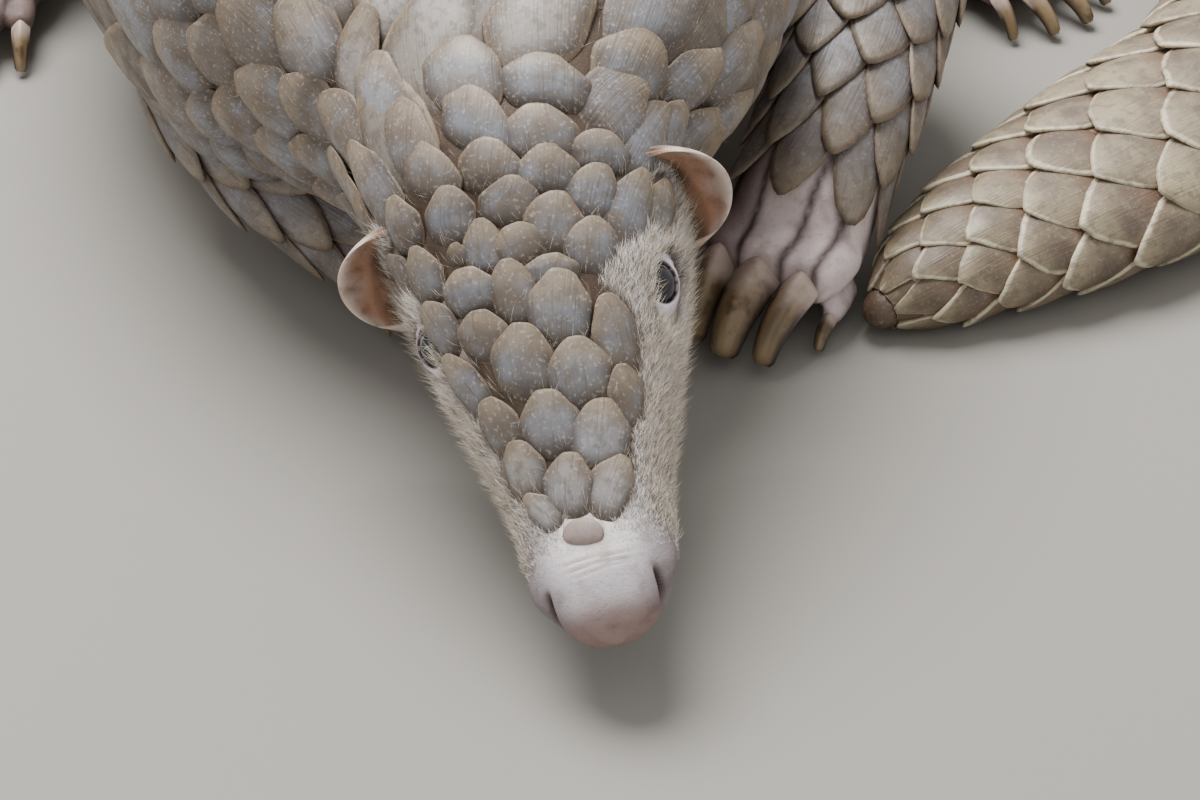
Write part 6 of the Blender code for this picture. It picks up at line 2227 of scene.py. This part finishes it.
@dataclass
class FaceHair:
    """The short pale hair of the cheeks, brow, chin and throat, and the lashes."""

    spine: BodyForm
    face: Face
    scales: ScaleSet
    count: int = 84000
    clear: float = 0.3 * MM
    bristles: int = 1300
    guards: int = 9000
    seed: int = 81
    start: float = 1.2 * CM
    end: float = 10.5 * CM
    tries: int = 7
    per_piece: int = 16000
    face_chart: float = 11.0 * CM
    nape_chart: float = 24.0 * CM

    def density(self, along: Array, turn: Array) -> Array:
        """Returns how thickly hair grows at some places, from 0 to 1.

        Args:
            along: Distances along the form.
            turn: Turns round it.

        Returns:
            A share for each place.
        """
        girth = self.spine.girth(along)
        thick = ramp(along, 1.2 * CM, 2.4 * CM) * ramp(along, 10.0 * CM, 9.0 * CM)
        shield = blend(SHIELD_HALF, along)
        thick *= ramp(np.abs(turn) * girth, shield - 0.35 * CM, shield - 0.10 * CM)
        thick *= 1 - 0.6 * ramp(np.abs(turn), 0.62, 0.9)
        for side in Side:
            run = along - self.face.eye_back + 0.14 * CM
            over = (turn * side.value - self.face.eye_turn) * girth - 0.07 * CM
            thick *= ramp(np.hypot(run / (0.74 * CM), over / (0.56 * CM)), 0.85, 1.12)
        return thick

    def covered(self, along: Array, turn: Array) -> Array:
        """Tells which places lie under a scale of the head or close round it.

        Args:
            along: Distances along the form.
            turn: Turns round it.

        Returns:
            Whether each place is covered.
        """
        covered = np.zeros(len(along), bool)
        girth = self.spine.girth(along)
        for middle, at, long, wide, yaw in zip(*self.scales[:5]):
            run, over = along - middle, (turn - at) * girth
            ahead = run * math.cos(yaw) + over * math.sin(yaw)
            aside = over * math.cos(yaw) - run * math.sin(yaw)
            covered |= (ahead / (long + self.clear)) ** 2 + (aside / (wide + self.clear)) ** 2 < 1
        return covered

    def hairs(self) -> HairSet:
        """Returns the hairs."""
        random = np.random.default_rng(self.seed)
        tries = self.count * self.tries
        along = random.uniform(self.start, self.end, tries)
        turn = random.uniform(-1, 1, tries)
        chance = self.density(along, turn) * self.spine.girth(along) / self.spine.girth(np.array(self.end))
        kept = random.uniform(0, 1, tries) < chance
        along, turn = along[kept], turn[kept]
        root = self.spine.spot(along, turn, np.full(len(along), -0.25 * MM))
        free = ~self.covered(along, turn)
        along, turn, root = along[free][: self.count], turn[free][: self.count], root[free][: self.count]
        count = len(along)
        outward = self.spine.normal(along, turn)
        lie = self.spine.lie(along, turn)
        across = np.cross(outward, lie)
        sideways = across * random.normal(0, 0.50, (count, 1))
        lie = unit(lie + sideways + outward * random.normal(0, 0.20, (count, 1)))
        size = blend([(1.2 * CM, 0.9), (2.4 * CM, 2.0), (4.0 * CM, 2.9), (8.0 * CM, 3.6)], along) * MM
        length = size * random.uniform(0.6, 1.3, count)
        width = random.uniform(0.06, 0.10, count) * MM
        lay_down = random.uniform(0.34, 0.86, count) - 0.15 * ramp(np.abs(turn), 0.42, 0.6)
        chart = hair_chart(along, turn, self.face_chart)
        return HairSet(root, outward, lie, length, width, lay_down, chart)

    def guard_hairs(self) -> HairSet:
        """Returns the longer hairs that stand out from the cheeks and the snout's sides."""
        random = np.random.default_rng(self.seed + 90)
        along = random.uniform(1.7 * CM, 9.6 * CM, self.guards)
        turn = random.uniform(0.30, 0.70, self.guards) * random.choice([-1.0, 1.0], self.guards)
        clear = (random.uniform(0, 1, self.guards) < self.density(along, turn)) & ~self.covered(along, turn)
        along, turn = along[clear], turn[clear]
        count = len(along)
        root = self.spine.spot(along, turn, np.full(count, -0.2 * MM))
        outward, lie = self.spine.normal(along, turn), self.spine.lie(along, turn)
        lie = unit(lie + np.cross(outward, lie) * random.normal(0, 0.45, (count, 1)))
        size = blend([(1.7 * CM, 2.4), (4.0 * CM, 4.2), (8.0 * CM, 5.4)], along) * MM
        length = size * random.uniform(0.7, 1.25, count)
        width = random.uniform(0.07, 0.11, count) * MM
        lay_down = random.uniform(0.15, 0.55, count)
        chart = hair_chart(along, turn, self.face_chart)
        return HairSet(root, outward, lie, length, width, lay_down, chart)

    def round_eyes(
        self,
        count: int,
        angles: tuple[float, float],
        ring: float,
        long: tuple[float, float],
        across_eye: bool,
    ) -> HairSet:
        """Returns hairs that grow on a ring round both eyes.

        Args:
            count: How many at each eye.
            angles: Where on the ring, from the rear corner and towards the crown.
            ring: The ring's size as a share of the lids'.
            long: The shortest and the longest hair.
            across_eye: Whether they lie over the eye rather than away from it.

        Returns:
            The hairs.
        """
        random = np.random.default_rng(self.seed + 130 + count)
        parts = []
        for side in Side:
            angle = random.uniform(*angles, count)
            size = ring * random.uniform(0.9, 1.12, count)
            along = self.face.eye_back + self.face.lid_long * size * np.cos(angle)
            arc = -self.face.lid_wide * size * np.sin(angle)
            turn = side.value * (self.face.eye_turn + arc / float(self.spine.girth(along.mean())))
            _, _, rearward, upward = self.face.eye_axes(side)
            away = np.outer(np.cos(angle), rearward) + np.outer(np.sin(angle), upward)
            lie = unit(away * (-1 if across_eye else 1) + random.normal(0, 0.25, (count, 3)))
            root = self.spine.spot(along, turn, np.full(count, 0.2 * MM))
            outward = self.spine.normal(along, turn)
            lay_down = random.uniform(0.45, 0.75, count)
            length = random.uniform(*long, count)
            width = random.uniform(0.09, 0.15, count) * MM
            chart = hair_chart(along, turn, self.face_chart)
            parts.append(HairSet(root, outward, lie, length, width, lay_down, chart))
        return HairSet(*(np.concatenate(values) for values in zip(*parts)))

    def between_scales(self) -> HairSet:
        """Returns the sparse stiff hairs that grow from the gaps between the scales."""
        random = np.random.default_rng(self.seed + 50)
        count = self.bristles
        pick = random.integers(0, len(self.scales.along), count)
        angle = random.uniform(-np.pi, np.pi, count)
        yaw, girth = self.scales.yaw[pick], self.spine.girth(self.scales.along[pick])
        run = self.scales.half_long[pick] * 1.02 * np.cos(angle)
        over = self.scales.half_wide[pick] * 1.04 * np.sin(angle)
        along = self.scales.along[pick] + run * np.cos(yaw) - over * np.sin(yaw)
        turn = self.scales.turn[pick] + (run * np.sin(yaw) + over * np.cos(yaw)) / girth
        root = self.spine.spot(along, turn, np.full(count, 0.2 * MM))
        outward, lie = self.spine.normal(along, turn), self.spine.lie(along, turn)
        across = np.cross(outward, lie)
        lie = unit(lie + across * random.normal(0, 0.6, (count, 1)))
        length = random.uniform(2.0, 5.0, count) * MM
        width = random.uniform(0.05, 0.09, count) * MM
        lay_down = random.uniform(0.45, 0.80, count)
        chart = hair_chart(along, turn, self.nape_chart)
        return HairSet(root, outward, lie, length, width, lay_down, chart)

    def build(self) -> None:
        """Makes the hair, split into pieces of at most a set number of hairs. Makes the
        hair in pieces of allowed size.
        """
        # Coarse single bristles: they give pale lines over the gaps between the scales.
        stiff = HairFinish("pale_stiff_bristle", shaft="#cfc5b4", root="#9c8f7e", brown="#a18c70").build()
        # Short dark hairs: they draw the eye's rear corner.
        dark = HairFinish("dark_lash", shaft="#4b433b", root="#332d29", brown="#2c2825").build()
        # Soiled hairs: they give the tan brow over the eye.
        tan = HairFinish("tan_eye_fringe", shaft="#a98a63", root="#6f5a45", brown="#5f4a38").build()
        # Dense short fur: it gives the pale, soft cheeks with darker depths.
        fur = HairFinish("short_pale_face_hair", shaft="#ece7e2", root="#b1a7a0").build()
        sets = [
            ("scale_bristles", stiff, self.between_scales()),
            ("lashes", dark, self.round_eyes(18, (-1.1, 0.2), 0.80, (2.2 * MM, 4.2 * MM), False)),
            ("eye_fringe", tan, self.round_eyes(60, (1.1, 2.6), 1.05, (1.8 * MM, 3.6 * MM), False)),
            ("eye_cross_hairs", stiff, self.round_eyes(4, (0.9, 2.0), 0.70, (2.6 * MM, 4.2 * MM), True)),
            ("guard_hair", stiff, self.guard_hairs()),
        ]
        for name, material, part in sets:
            Piece.dress(Coat(seed=self.seed).build(name, part), material, "skin")
        hairs = self.hairs()
        for number, start in enumerate(range(0, len(hairs.root), self.per_piece), 1):
            part = HairSet(*(values[start : start + self.per_piece] for values in hairs))
            thing = Coat(seed=self.seed + number).build("face_hair_%d" % number, part)
            Piece.dress(thing, fur, "skin")


@dataclass
class Studio:
    """The plain pale floor and the soft light."""

    floor_half: float = 1.6
    floor_tone: str = "#94918c"
    sky_tone: str = "#f3f1ee"
    sky_strength: float = 0.85
    lamp_size: float = 0.9
    lamp_energy: float = 36.0
    lamp_colour: tuple[float, float, float] = (1.0, 0.985, 0.96)
    lamp_place: tuple[float, float, float] = (-0.25, 0.35, 1.15)
    lamp_target: tuple[float, float, float] = (0.04, -0.05, 0.0)

    def build(self) -> None:
        """Makes the floor, the sky light and one large soft lamp."""
        mesh = bmesh.new()
        bmesh.ops.create_grid(mesh, x_segments=2, y_segments=2, size=self.floor_half)
        floor = Piece.from_bmesh("studio_floor", mesh)
        # Matt board: it gives a plain ground that takes the soft shadow.
        board = Maker("pale_studio_floor").finish({"Base Color": linear(self.floor_tone), "Roughness": 0.85})
        floor.data.materials.append(board)
        world = bpy.data.worlds.new("soft_sky")
        world.use_nodes = True
        sky = world.node_tree.nodes["Background"]
        sky.inputs["Color"].default_value = linear(self.sky_tone)
        sky.inputs["Strength"].default_value = self.sky_strength
        bpy.context.scene.world = world
        lamp = bpy.data.lights.new("overhead_soft_box", "AREA")
        lamp.shape = "DISK"
        lamp.size = self.lamp_size
        lamp.energy = self.lamp_energy
        lamp.color = self.lamp_colour
        light = bpy.data.objects.new("overhead_soft_box", lamp)
        light.location = self.lamp_place
        aim = Vector(self.lamp_target) - Vector(self.lamp_place)
        light.rotation_euler = aim.to_track_quat("-Z", "Y").to_euler()
        bpy.context.scene.collection.objects.link(light)


def main() -> None:
    """Builds the looks of every part in order."""
    logging.basicConfig(level=logging.INFO, format="%(name)s %(message)s")
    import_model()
    view = PhotoView()
    view.add_camera()
    Studio().build()
    spine = BodyForm(head_stations() + BODY_STATIONS)
    limbs = [LimbForm(limb) for limb in LIMBS]
    face = Face(spine)
    Skin(spine, limbs, face).build()
    head = HeadScales(spine, view)
    head.build()
    TrunkScales(spine, head.placed).build()
    TailScales(spine).build()
    LimbScales(limbs, spine).build()
    Claws(limbs).build()
    Eyes(face).build()
    Ears(face).build()
    FaceHair(spine, face, head.placed).build()


if __name__ == "__main__":
    main()
